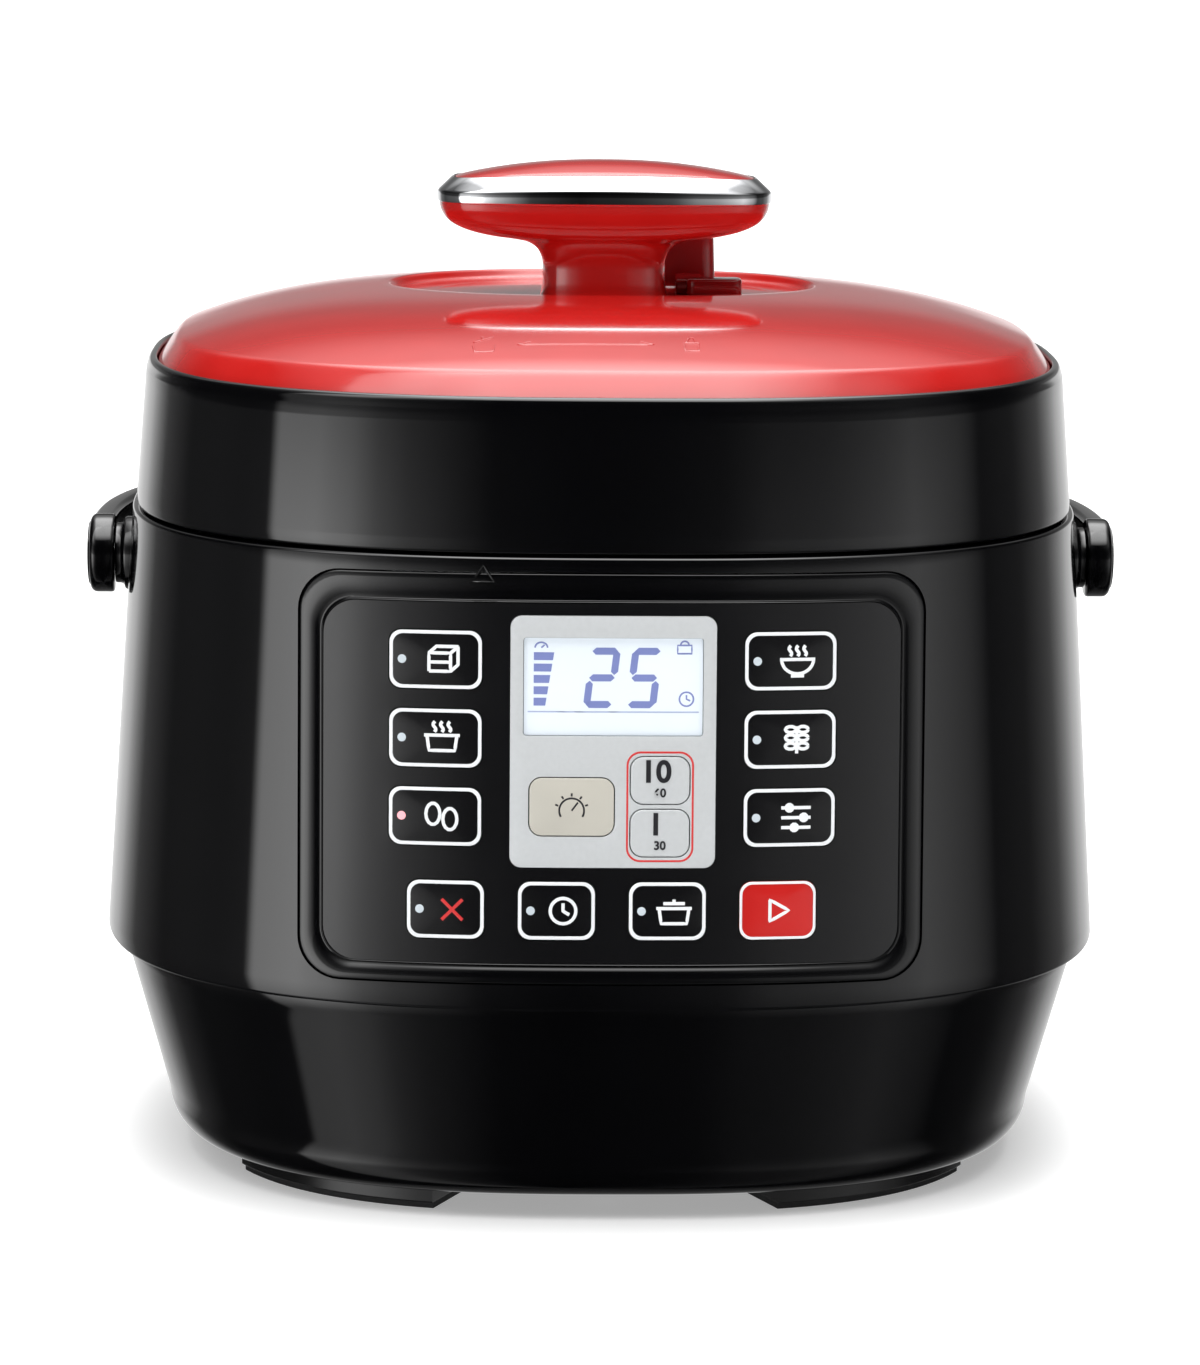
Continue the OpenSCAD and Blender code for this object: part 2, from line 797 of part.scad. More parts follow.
module lid_frame() {
    color("#2B2B2E")
        difference() {
            union() {
                translate([0, 0, frame_z])
                    linear_extrude(3)
                        polygon(outline(ring_a(frame_z) - wall - 0.9));
                for (t = screw_angles)
                    rotate([0, 0, t])
                        translate([screw_ring_r, 0, 0])
                            rod(5, plate_bottom + plate_t, frame_z + 1);
                for (t = [0 : 90 : 270])
                    rotate([0, 0, t])
                        translate([depth_ratio * (cover_a - 1.4), 0, 0])
                            rod(2.6, frame_z + 1, ledge_z - 4.9);
            }
            rod(58, frame_z - 12, frame_z + 4);
            for (t = screw_angles)
                rotate([0, 0, t])
                    translate([screw_ring_r, 0, 0])
                        rod(1.55, plate_bottom, frame_z + 4);
        }
}

module lid_plate() {
    color(steel)
        difference() {
            union() {
                rod(plate_r, plate_bottom, plate_bottom + plate_t);
                for (i = [0 : lugs - 1])
                    rotate([0, 0, lug_pitch * i])
                        sector(plate_r - 1, lug_r, lug_pitch * 0.42, plate_bottom, plate_bottom + plate_t);
            }
            for (t = screw_angles)
                rotate([0, 0, t])
                    translate([screw_ring_r, 0, 0])
                        rod(1.6, plate_bottom - 1, plate_bottom + plate_t + 1);
            translate([vent_xy[0], vent_xy[1], 0])
                rod(pipe_out_r, plate_bottom - 1, plate_bottom + plate_t + 1);
            translate([float_xy[0], float_xy[1], 0])
                rod(float_r + running, plate_bottom - 1, plate_bottom + plate_t + 1);
            translate([safety_xy[0], safety_xy[1], 0])
                rod(4.02, plate_bottom - 1, plate_bottom + plate_t + 1);
        }
}

module plate_screws() {
    color(steel)
        for (t = screw_angles)
            rotate([0, 0, t])
                translate([screw_ring_r, 0, 0]) {
                    rod(1.5, plate_bottom - 0.05, plate_bottom + plate_t + 9);
                    rod(3.2, plate_bottom - 1.5, plate_bottom - 0.05);
                }
}

module gasket() {
    low = rim_z + rim_t + gap;
    high = plate_bottom - gap;
    color("#C9CCCB")
        rotate_extrude($fn = 96)
            polygon([
                [pot_r + 1, low], [rim_r - 0.5, low], [rim_r - 0.5, high], [pot_r - 0.4, high],
                [pot_r - 2.6, low - 1.6], [pot_r - 1.6, low - 1.9], [pot_r - 0.4, low + 0.4]
            ]);
}

// ---------- Knob ----------
knob_z = dome_top - 1.4;
knob_top = knob_z + knob_h;
knob_a = knob_w / 2;
knob_b = knob_d / 2;
band_z = knob_top - 10.6;
band_top = knob_top - 3.6;
screw_x = 8;

module knob_body() {
    stem_a = stem_w / 2;
    stem_b = stem_a * 0.8;
    wing_z = knob_z + 13;
    inside = 2.4;
    color(red)
        difference() {
            loft(knob_rings([
                [stem_a + 0.6, stem_b + 0.6, knob_z], [stem_a, stem_b, knob_z + 2.4],
                [stem_a, stem_b, knob_z + 6], [stem_a + 1.2, stem_b + 0.8, knob_z + 9],
                [stem_a + 4.6, stem_b + 2, wing_z - 1], [knob_a - 16, knob_b - 5.4, wing_z + 1],
                [knob_a - 7, knob_b - 3, wing_z + 4], [knob_a - 1.6, knob_b - 1, wing_z + 8],
                [knob_a - 0.2, knob_b, band_z]
            ]));
            loft(knob_rings([
                [knob_a - 18, knob_b - 8, wing_z + 3.6], [knob_a - 9, knob_b - 5.4, wing_z + 6.6],
                [knob_a - inside, knob_b - inside, wing_z + 9.6], [knob_a - inside, knob_b - inside, band_z + 1]
            ]));
            for (sx = [-1, 1])
                translate([sx * screw_x, 0, 0])
                    rod(2.02, knob_z - 1, wing_z + 4);
        }
}

module knob_trim() {
    color("#D8DADD")
        loft(knob_rings([
            [knob_a, knob_b + 0.2, band_z], [knob_a, knob_b + 0.2, band_z + 2.4],
            [knob_a - 2.2, knob_b - 1.6, band_top], [knob_a - 4.4, knob_b - 3.6, band_top],
            [knob_a - 4.4, knob_b - 3.6, band_z]
        ]), closed = true);
}

module knob_cap() {
    cap_a = knob_a - 4.5;
    cap_b = knob_b - 3.7;
    color(red)
        loft(knob_rings([
            [cap_a, cap_b, band_z + 2], [cap_a, cap_b, band_top], [cap_a - 3, cap_b - 2.4, band_top + 1.6],
            [cap_a - 12, cap_b - 6, band_top + 2.9], [cap_a - 26, cap_b - 11, knob_top]
        ]));
}

module knob_screws() {
    color(steel)
        for (sx = [-1, 1])
            translate([sx * screw_x, 0, 0]) {
                rod(2, dome_top - cover_wall - 1.2, knob_z + 14);
                rod(4, dome_top - cover_wall - 3.2, dome_top - cover_wall - 0.2);
            }
}

// ---------- Valves ----------
pipe_out_r = 5;
float_r = 2.5;
vent_top = knob_z + 14.6;

module vent_cover() {
    w = 27;
    d = 24;
    color(red)
        difference() {
            translate([vent_xy[0] - 0.6, vent_xy[1] + 1, knob_z])
                linear_extrude(vent_top - knob_z)
                    polygon(rounded(0, 0, w, d, 4));
            translate([vent_xy[0], vent_xy[1], 0])
                rod(8.5, knob_z - 1, vent_top - 1.8);
            translate([vent_xy[0] - 5, vent_xy[1] - 14, knob_z - 1])
                cube([21, 17, 5.6]);
            for (i = [-1 : 1])
                translate([vent_xy[0] - 5, vent_xy[1] + i * 4 - 0.8, vent_top - 3])
                    cube([10, 1.6, 4]);
        }
}

module vent_pipe() {
    color(steel)
        translate([vent_xy[0], vent_xy[1], 0])
            difference() {
                union() {
                    rod(pipe_out_r - 0.02, plate_bottom - 1, knob_z + 5.4);
                    rod(8, plate_bottom - 2.4, plate_bottom - 0.05);
                }
                rod(2, plate_bottom - 4, knob_z + 6);
            }
}

module pressure_weight() {
    color(steel)
        translate([vent_xy[0], vent_xy[1], 0])
            difference() {
                rod(7.4, knob_z + 5.7, knob_z + 10);
                rod(2.4, knob_z + 5, knob_z + 7.2);
            }
}

module release_lever() {
    // A collar round the steam pipe with an arm to the front and a thumb tab
    z0 = knob_z + gap;
    z1 = knob_z + 4;
    color(red)
        difference() {
            union() {
                translate([vent_xy[0], vent_xy[1], 0])
                    rod(8, z0, z1);
                translate([vent_xy[0] - 0.4, 2, z0])
                    cube([8, vent_xy[1] - 2, z1 - z0]);
                translate([vent_xy[0] + 2.6, -3, z0])
                    cube([14.4, 9, z1 - z0 + 0.6]);
            }
            translate([vent_xy[0], vent_xy[1], 0])
                rod(pipe_out_r + running - 0.02, z0 - 1, z1 + 1);
        }
}

module float_pin() {
    color(steel)
        translate([float_xy[0], float_xy[1], 0]) {
            rod(float_r, plate_bottom - 3, plate_bottom + 16);
            rod(5, plate_bottom - 5, plate_bottom - 3);
        }
}

module safety_valve() {
    color("#B98B3E")
        translate([safety_xy[0], safety_xy[1], 0]) {
            rod(4, plate_bottom - 2, plate_bottom + plate_t);
            rod(7, plate_bottom + plate_t, plate_bottom + plate_t + 6);
            rod(4.5, plate_bottom + plate_t + 6, plate_bottom + plate_t + 12);
        }
}

upper_housing();
lower_housing();
base_plate();
feet();
foot_pads();
base_screws();
pot_liner();
lock_ring();
heater_plate();
heater_legs();
heating_element();
sensor_cup();
sensor_spring();
temp_sensor();
thermal_fuse();
power_board();
power_inlet();
inlet_pins();
control_board();
switch_bank();
light_pipes();
panel_frame();
panel_sheet();
lcd_bezel();
lcd_glass();
lcd_module();
pivot_bosses();
pivot_pins();
for (b = buttons)
    color(b[0] == "button_start" ? red : (in_bezel(b) ? "#C8C4B8" : black))
            button_body(b);
inner_pot();
gasket();
bail_handle();
pivot_caps();
lid_ring();
lid_cover();
lid_frame();
lid_plate();
plate_screws();
knob_body();
knob_trim();
knob_cap();
knob_screws();
vent_cover();
vent_pipe();
pressure_weight();
release_lever();
float_pin();
safety_valve();
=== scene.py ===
"""Looks of an electric pressure cooker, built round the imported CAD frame.

Lengths are in metres in the frame's own axes: +Z up, front towards -Y. The helper mm() turns
millimetres into metres, because every size of such an appliance is easiest to read in millimetres.
"""

import math

import bmesh
import bpy
from mathutils import Matrix, Vector
from mathutils.geometry import delaunay_2d_cdt


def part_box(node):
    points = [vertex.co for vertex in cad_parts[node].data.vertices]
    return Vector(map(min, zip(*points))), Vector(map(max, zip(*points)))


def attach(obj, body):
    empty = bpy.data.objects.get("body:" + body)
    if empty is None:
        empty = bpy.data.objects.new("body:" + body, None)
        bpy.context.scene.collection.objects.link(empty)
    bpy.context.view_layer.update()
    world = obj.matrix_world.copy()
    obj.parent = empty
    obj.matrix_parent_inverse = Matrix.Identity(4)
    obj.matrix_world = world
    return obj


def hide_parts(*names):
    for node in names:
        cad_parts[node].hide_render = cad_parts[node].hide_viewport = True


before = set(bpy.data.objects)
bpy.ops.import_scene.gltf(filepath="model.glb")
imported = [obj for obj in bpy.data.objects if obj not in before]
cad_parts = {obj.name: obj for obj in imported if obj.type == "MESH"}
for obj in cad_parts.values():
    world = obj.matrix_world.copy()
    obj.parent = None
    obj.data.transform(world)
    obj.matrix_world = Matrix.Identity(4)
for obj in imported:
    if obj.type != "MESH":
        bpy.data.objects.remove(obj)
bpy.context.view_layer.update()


def mm(*values):
    """Millimetres to metres, for one value or several."""
    scaled = [v / 1000 for v in values]
    return scaled[0] if len(scaled) == 1 else scaled


# ---------- Driving dimensions ----------
def half_width(node):
    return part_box(node)[1].x


DEPTH_RATIO = 0.985
CORNER_POWER = 2.65
KNOB_POWER = 3.0
BODY_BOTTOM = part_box("upper_housing")[0].z
BODY_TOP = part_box("upper_housing")[1].z
SHOULDER_A = half_width("upper_housing")
BODY_TAPER = mm(6.9) / mm(110.3)
SHOULDER_Z = mm(57.2)
LOWER_TOP_A = half_width("lower_housing")
LOWER_TAPER = mm(11.7) / mm(42.4)
CORNER_Z = mm(14.8)
CORNER_R = mm(7.4)
FLOOR_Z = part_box("lower_housing")[0].z
RING_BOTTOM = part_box("lid_ring")[0].z
RING_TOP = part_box("lid_ring")[1].z
RING_BOTTOM_A = mm(120.9)
RING_TAPER = mm(2.9) / mm(37.5)
COVER_A = half_width("lid_cover") + mm(1.6)
CREASE_A = COVER_A - mm(4.4)
COVER_EDGE_Z = RING_TOP - mm(1.2)
CREASE_Z = COVER_EDGE_Z + mm(6.4)
DOME_H = mm(11.8)
DOME_TOP = CREASE_Z + DOME_H
DOME_POWER = 3.8
KNOB_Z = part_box("knob_body")[0].z
KNOB_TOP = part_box("knob_cap")[1].z
BAND_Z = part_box("knob_trim")[0].z
KNOB_A = half_width("knob_trim")
KNOB_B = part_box("knob_trim")[1].y
PIVOT_Z = mm(151)
ARM_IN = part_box("pivot_bosses")[1].x + mm(0.3)
ARM_OUT = half_width("bail_handle")
CAP_OUT = half_width("pivot_caps")
BAIL_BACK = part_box("bail_handle")[1].y
AROUND = 240


def body_a(z):
    return SHOULDER_A - BODY_TAPER * (z - SHOULDER_Z)


def lower_a(z):
    return LOWER_TOP_A + LOWER_TAPER * (z - SHOULDER_Z)


def ring_a(z):
    return RING_BOTTOM_A - RING_TAPER * (z - RING_BOTTOM)


def dome_z(a):
    return DOME_TOP - DOME_H * (a / CREASE_A) ** DOME_POWER


# ---------- Outlines ----------
def superellipse_point(t, a, b, power=CORNER_POWER):
    """The point of a rounded square at an angle from its centre."""
    c, s = math.cos(t), math.sin(t)
    r = (abs(c / a) ** power + abs(s / b) ** power) ** (-1 / power)
    return r * c, r * s


def squircle(a, b, power=CORNER_POWER, count=AROUND):
    """Points of a rounded square, evenly spaced in angle."""
    return [superellipse_point(2 * math.pi * i / count, a, b, power) for i in range(count)]


def level(a, z):
    """The body's outline at a height, as wide as twice a."""
    return [Vector((x, y, z)) for x, y in squircle(a, a * DEPTH_RATIO)]


def levels(width_at, low, high, order):
    """Outlines at shares of the way from one height to another."""
    heights = [low + (high - low) * share for share in order]
    return [level(width_at(z), z) for z in heights]


def front_y(x, a):
    """How far forward the outline reaches at x."""
    return -DEPTH_RATIO * a * (1 - (min(abs(x) / a, 1)) ** CORNER_POWER) ** (1 / CORNER_POWER)


def rounded_rect(x, z, w, h, r, corner=10, parts=8):
    """A rectangle with round corners, anticlockwise, with points along its straight sides too."""
    r = max(min(r, w / 2 - 1e-5, h / 2 - 1e-5), 1e-5)
    points = []
    for k, (sx, sz, dx, dz) in enumerate([(1, 1, -1, 0), (-1, 1, 0, -1), (-1, -1, 1, 0), (1, -1, 0, 1)]):
        cx, cz = x + sx * (w / 2 - r), z + sz * (h / 2 - r)
        for i in range(corner + 1):
            t = math.radians(90 * k + 90 * i / corner)
            points.append((cx + r * math.cos(t), cz + r * math.sin(t)))
        side = (w if k % 2 == 0 else h) - 2 * r
        end_x, end_z = points[-1]
        for i in range(1, parts):
            points.append((end_x + dx * side * i / parts, end_z + dz * side * i / parts))
    return points


def smooth_path(controls, parts=6):
    """A Catmull-Rom curve through control tuples of any length."""
    ends = [controls[0]] + list(controls) + [controls[-1]]
    path = []
    for i in range(1, len(ends) - 2):
        p0, p1, p2, p3 = ends[i - 1], ends[i], ends[i + 1], ends[i + 2]
        for k in range(parts):
            t = k / parts
            path.append(tuple(
                0.5 * (2 * b + (c - a) * t + (2 * a - 5 * b + 4 * c - d) * t**2
                       + (3 * b - a - 3 * c + d) * t**3)
                for a, b, c, d in zip(p0, p1, p2, p3)
            ))
    path.append(tuple(controls[-1]))
    return path


def quarter(r, parts):
    """Steps inwards and upwards round a quarter turn of radius r."""
    turns = [math.pi / 2 * i / parts for i in range(parts + 1)]
    return [(r * (1 - math.cos(t)), r * math.sin(t)) for t in turns]


# ---------- Meshes ----------
SHARP_ANGLE = math.radians(38)


def make_object(name, vertices, faces):
    mesh = bpy.data.meshes.new(name)
    mesh.from_pydata([tuple(v) for v in vertices], [], faces)
    tidy = bmesh.new()
    tidy.from_mesh(mesh)
    bmesh.ops.remove_doubles(tidy, verts=tidy.verts, dist=1e-7)
    bmesh.ops.recalc_face_normals(tidy, faces=tidy.faces)
    tidy.to_mesh(mesh)
    tidy.free()
    obj = bpy.data.objects.new(name, mesh)
    bpy.context.scene.collection.objects.link(obj)
    smooth(obj)
    return obj


def smooth(obj):
    obj.data.shade_smooth()
    obj.data.set_sharp_from_angle(angle=SHARP_ANGLE)


def loft(name, rings, closed=False):
    """A skin over rings of equal counts, joined last to first when closed and capped when open."""
    count, total = len(rings[0]), len(rings)
    vertices = [v for ring in rings for v in ring]
    faces = []
    for j in range(total if closed else total - 1):
        k = (j + 1) % total
        for i in range(count):
            n = (i + 1) % count
            faces.append((j * count + i, j * count + n, k * count + n, k * count + i))
    if not closed:
        faces += [tuple(base + i for i in range(count)) for base in (0, (total - 1) * count)]
    return make_object(name, vertices, faces)


def lathe(name, profile, place, count=64, closed=False):
    """Turns a profile of (radius, height) about an axis. place maps (u, v, height) to a point."""
    turns = [2 * math.pi * i / count for i in range(count)]
    rings = [[place(r * math.cos(t), r * math.sin(t), h) for t in turns] for r, h in profile]
    return loft(name, rings, closed=closed)


def join(name, objects):
    """One object out of several, with their meshes kept apart."""
    whole = bmesh.new()
    for obj in objects:
        whole.from_mesh(obj.data)
    mesh = bpy.data.meshes.new(name)
    whole.to_mesh(mesh)
    whole.free()
    for obj in objects:
        bpy.data.objects.remove(obj)
    joined = bpy.data.objects.new(name, mesh)
    bpy.context.scene.collection.objects.link(joined)
    smooth(joined)
    return joined


def bake_modifiers(obj):
    """Applies the object's modifiers to its mesh."""
    graph = bpy.context.evaluated_depsgraph_get()
    obj.data = bpy.data.meshes.new_from_object(obj.evaluated_get(graph))
    obj.modifiers.clear()
    smooth(obj)


def cut(obj, cutters):
    """Takes the cutters out of the object, and deletes them."""
    for cutter in cutters:
        change = obj.modifiers.new("cut", "BOOLEAN")
        change.operation = "DIFFERENCE"
        change.solver = "EXACT"
        change.object = cutter
    bpy.context.view_layer.update()
    bake_modifiers(obj)
    for cutter in cutters:
        bpy.data.objects.remove(cutter)


def bevel(obj, width, segments=3):
    change = obj.modifiers.new("bevel", "BEVEL")
    change.width = width
    change.segments = segments
    change.limit_method = "ANGLE"
    change.angle_limit = math.radians(30)
    bpy.context.view_layer.update()
    bake_modifiers(obj)


def slab(name, outline, z0, z1):
    """An upright prism over a flat outline."""
    low = [Vector((x, y, z0)) for x, y in outline]
    high = [Vector((x, y, z1)) for x, y in outline]
    return loft(name, [low, high])


def bead(name, lines, width, height, place, closed=False):
    """Raised strokes along lines of (u, v). place maps (u, v, height above the face) to a point."""
    sides = 8
    parts = []
    for line in lines:
        total = len(line)
        rings = []
        for i, (u, v) in enumerate(line):
            before = line[(i - 1) % total] if closed or i else line[0]
            after = line[(i + 1) % total] if closed or i < total - 1 else line[-1]
            along = Vector((after[0] - before[0], after[1] - before[1])).normalized()
            across = Vector((-along.y, along.x))
            ring = []
            for k in range(sides):
                t = 2 * math.pi * k / sides
                offset = across * (width / 2 * math.cos(t))
                ring.append(place(u + offset.x, v + offset.y, height * math.sin(t)))
            rings.append(ring)
        parts.append(loft(name + "_part", rings, closed=closed))
    return join(name, parts)


# ---------- Materials ----------
def material(name, color, roughness, spread=0.0, metallic=0.0, coat=0.0, coat_roughness=0.05,
             grain=mm(6), bump=0.0, emission=0.0, stretch=(1, 1, 1)):
    """A procedural finish in object space: fine tone variation, uneven roughness and a slight bump.

    spread is the share by which the tone varies, grain the size of the noise and bump its depth.
    """
    made = bpy.data.materials.new(name)
    made.use_nodes = True
    made.diffuse_color = (*color, 1)
    tree = made.node_tree
    shader = tree.nodes["Principled BSDF"]
    shader.inputs["Metallic"].default_value = metallic
    shader.inputs["Coat Weight"].default_value = coat
    shader.inputs["Coat Roughness"].default_value = coat_roughness
    place = tree.nodes.new("ShaderNodeTexCoord")
    scale = tree.nodes.new("ShaderNodeMapping")
    scale.inputs["Scale"].default_value = stretch
    tree.links.new(place.outputs["Object"], scale.inputs["Vector"])

    def noise(size, detail):
        node = tree.nodes.new("ShaderNodeTexNoise")
        node.inputs["Scale"].default_value = 1 / size
        node.inputs["Detail"].default_value = detail
        tree.links.new(scale.outputs["Vector"], node.inputs["Vector"])
        return node.outputs["Fac"]

    tone = tree.nodes.new("ShaderNodeValToRGB")
    for element, position, share in zip(tone.color_ramp.elements, (0.3, 0.7), (1 - spread, 1 + spread)):
        element.position = position
        element.color = (*[min(1, c * share) for c in color], 1)
    tree.links.new(noise(grain * 4, 3), tone.inputs["Fac"])
    tree.links.new(tone.outputs["Color"], shader.inputs["Base Color"])
    gloss = tree.nodes.new("ShaderNodeMapRange")
    gloss.inputs["To Min"].default_value = roughness * 0.85
    gloss.inputs["To Max"].default_value = roughness * 1.2
    tree.links.new(noise(grain * 2, 4), gloss.inputs["Value"])
    tree.links.new(gloss.outputs["Result"], shader.inputs["Roughness"])
    if bump:
        relief = tree.nodes.new("ShaderNodeBump")
        relief.inputs["Distance"].default_value = bump
        tree.links.new(noise(grain, 5), relief.inputs["Height"])
        tree.links.new(relief.outputs["Normal"], shader.inputs["Normal"])
    if emission:
        tree.links.new(tone.outputs["Color"], shader.inputs["Emission Color"])
        shader.inputs["Emission Strength"].default_value = emission
    return made


BLACK_GLOSS = material("black_gloss", (0.0014, 0.0014, 0.0018), 0.07, spread=0.12, coat=0.35,
                       coat_roughness=0.03)
BLACK_SATIN = material("black_satin", (0.005, 0.005, 0.0055), 0.24, spread=0.15, grain=mm(1.2),
                       bump=mm(0.004))
PANEL_BLACK = material("panel_black", (0.0045, 0.0045, 0.0052), 0.17, spread=0.12, coat=0.2,
                       coat_roughness=0.1)
RED_GLOSS = material("red_gloss", (0.52, 0.012, 0.010), 0.13, spread=0.05, coat=0.6, coat_roughness=0.06)
# A darker copy of red_gloss: painted shade for the vent block and the lever, which sit in the shade behind
# the knob.
RED_PAINTED_SHADE = material("red_painted_shade", (0.30, 0.006, 0.008), 0.16, spread=0.05, coat=0.4, coat_roughness=0.08)
CHROME = material("chrome", (0.80, 0.81, 0.83), 0.06, spread=0.03, metallic=1.0)
STEEL = material("steel", (0.56, 0.57, 0.58), 0.28, spread=0.06, metallic=1.0, grain=mm(0.8), bump=mm(0.006),
                 stretch=(1, 1, 8))
ALUMINIUM = material("aluminium", (0.60, 0.60, 0.61), 0.42, spread=0.08, metallic=1.0, grain=mm(1.5),
                     bump=mm(0.02))
COATING = material("pot_coating", (0.045, 0.045, 0.048), 0.34, spread=0.35, grain=mm(0.5), bump=mm(0.02))
SILICONE = material("silicone", (0.52, 0.53, 0.52), 0.5, spread=0.04, bump=mm(0.01))
RUBBER = material("rubber", (0.022, 0.022, 0.023), 0.7, spread=0.2, grain=mm(0.8), bump=mm(0.03))
SILVER = material("silver_plastic", (0.60, 0.62, 0.63), 0.36, spread=0.02, metallic=0.15, grain=mm(0.3),
                  bump=mm(0.002))
SCREEN = material("screen", (0.70, 0.76, 0.82), 0.2, spread=0.015, emission=0.14)
SEGMENT = material("segment", (0.19, 0.23, 0.50), 0.3, spread=0.04)
SEGMENT_PALE = material("segment_pale", (0.36, 0.42, 0.62), 0.3, spread=0.04)
BEIGE = material("button_beige", (0.52, 0.50, 0.44), 0.2, spread=0.05, coat=0.5)
PRINT_WHITE = material("print_white", (0.80, 0.82, 0.84), 0.35, spread=0.03)
PRINT_RED = material("print_red", (0.62, 0.03, 0.03), 0.35, spread=0.04)
PRINT_DARK = material("print_dark", (0.02, 0.02, 0.024), 0.35, spread=0.1)
DARK_PLASTIC = material("dark_plastic", (0.018, 0.018, 0.020), 0.4, spread=0.2, grain=mm(0.6), bump=mm(0.02))
BOARD = material("board_green", (0.012, 0.10, 0.035), 0.35, spread=0.2, grain=mm(1.5))
# Unlit light pipes: their faint emission is a painted glow, since their lamps are off.
LENS_PAINTED_GLOW = material("light_pipe", (0.52, 0.58, 0.62), 0.15, spread=0.05, emission=0.10)
LENS_LIT = material("light_pipe_lit", (0.90, 0.36, 0.40), 0.2, spread=0.04, emission=0.45)
BRASS = material("brass", (0.62, 0.44, 0.16), 0.3, spread=0.08, metallic=1.0, grain=mm(1), bump=mm(0.008))
CERAMIC = material("ceramic", (0.62, 0.58, 0.48), 0.6, spread=0.06, bump=mm(0.01))


def dress(obj, finish, body, slot, *nodes):
    """Gives a new piece its material, its body and the CAD nodes that it stands for; its record slot is not
    used.
    """
    obj.data.materials.clear()
    obj.data.materials.append(finish)
    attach(obj, body)
    if nodes:
        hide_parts(*nodes)
    return obj


# ---------- The panel's own axes ----------
PANEL_Z = mm(113.75)
PANEL_A = body_a(PANEL_Z)
PANEL_TILT = math.atan(DEPTH_RATIO * BODY_TAPER)
FRAME_W, FRAME_H, FRAME_R = mm(152, 99.6, 10)
SHEET_W, SHEET_H, SHEET_R, SHEET_DZ = mm(140, 87.6, 8, -1.2)
BEZEL_W, BEZEL_H, BEZEL_R, BEZEL_DZ = mm(49.6, 61, 2.8, 9.1)
WINDOW_W, WINDOW_H, WINDOW_DZ = mm(43.4, 23.8, 22.4)
SHEET_DEPTH = mm(0.7)
BEZEL_DEPTH = mm(0.45)
BUTTON_GAP = mm(0.25)


def panel_point(x, y, z):
    """From the panel's tilted axes, with y inwards, to the frame's."""
    c, s = math.cos(PANEL_TILT), math.sin(PANEL_TILT)
    return Vector((x, -DEPTH_RATIO * PANEL_A + y * c + z * s, PANEL_Z - y * s + z * c))


def on_panel(x, z, depth=0.0):
    """The point at (x, z) on the panel's axes, that deep below the curved front face of the body."""
    y = 0.0
    for _ in range(3):
        face = front_y(x, body_a(panel_point(x, y, z).z))
        y = (face + DEPTH_RATIO * PANEL_A - z * math.sin(PANEL_TILT)) / math.cos(PANEL_TILT)
    return panel_point(x, y + depth, z)


def panel_ring(x, z, w, h, r, depth, corner=10, parts=8):
    return [on_panel(px, pz, depth) for px, pz in rounded_rect(x, z, w, h, r, corner, parts)]


def panel_frame():
    """The glossy surround: a soft roll that falls to a fine raised lip round the sheet."""
    profile = [(0, 4.6), (0, 0.55), (0.03, 0.3), (0.08, 0.18), (0.2, 0.13), (0.34, 0.16), (0.5, 0.28),
               (0.64, 0.5), (0.76, 0.82), (0.86, 1.12), (0.905, 1.16), (0.925, 1.05), (0.945, 0.72),
               (0.965, 0.6), (0.985, 0.66), (1, 0.9), (1, 4.6)]
    rings = []
    for t, depth in profile:
        w, h = FRAME_W + (SHEET_W - FRAME_W) * t, FRAME_H + (SHEET_H - FRAME_H) * t
        r = FRAME_R + (SHEET_R - FRAME_R) * t
        rings.append(panel_ring(0, SHEET_DZ * t, w, h, r, mm(depth), parts=48))
    made = loft("panel_surround", rings, closed=True)
    dress(made, BLACK_GLOSS, "base", "black_gloss", "panel_frame")


def panel_notch():
    """A small pointed mark at the middle of the surround's lower lip."""
    tip, foot = mm(-42.9), mm(-44.5)
    lines = [[(mm(-1.5), foot), (0, tip), (mm(1.5), foot)]]

    def place(u, v, lift):
        return on_panel(u, v, mm(0.7) - lift)

    dress(bead("panel_notch", grown(lines), mm(0.6), mm(0.25), place), BLACK_GLOSS, "base", "black_gloss")


def inside(point, outline):
    """Whether a point lies within an outline."""
    x, y = point
    found = False
    for (x0, y0), (x1, y1) in zip(outline, outline[1:] + outline[:1]):
        if (y0 > y) != (y1 > y) and x < x0 + (y - y0) * (x1 - x0) / (y1 - y0):
            found = not found
    return found


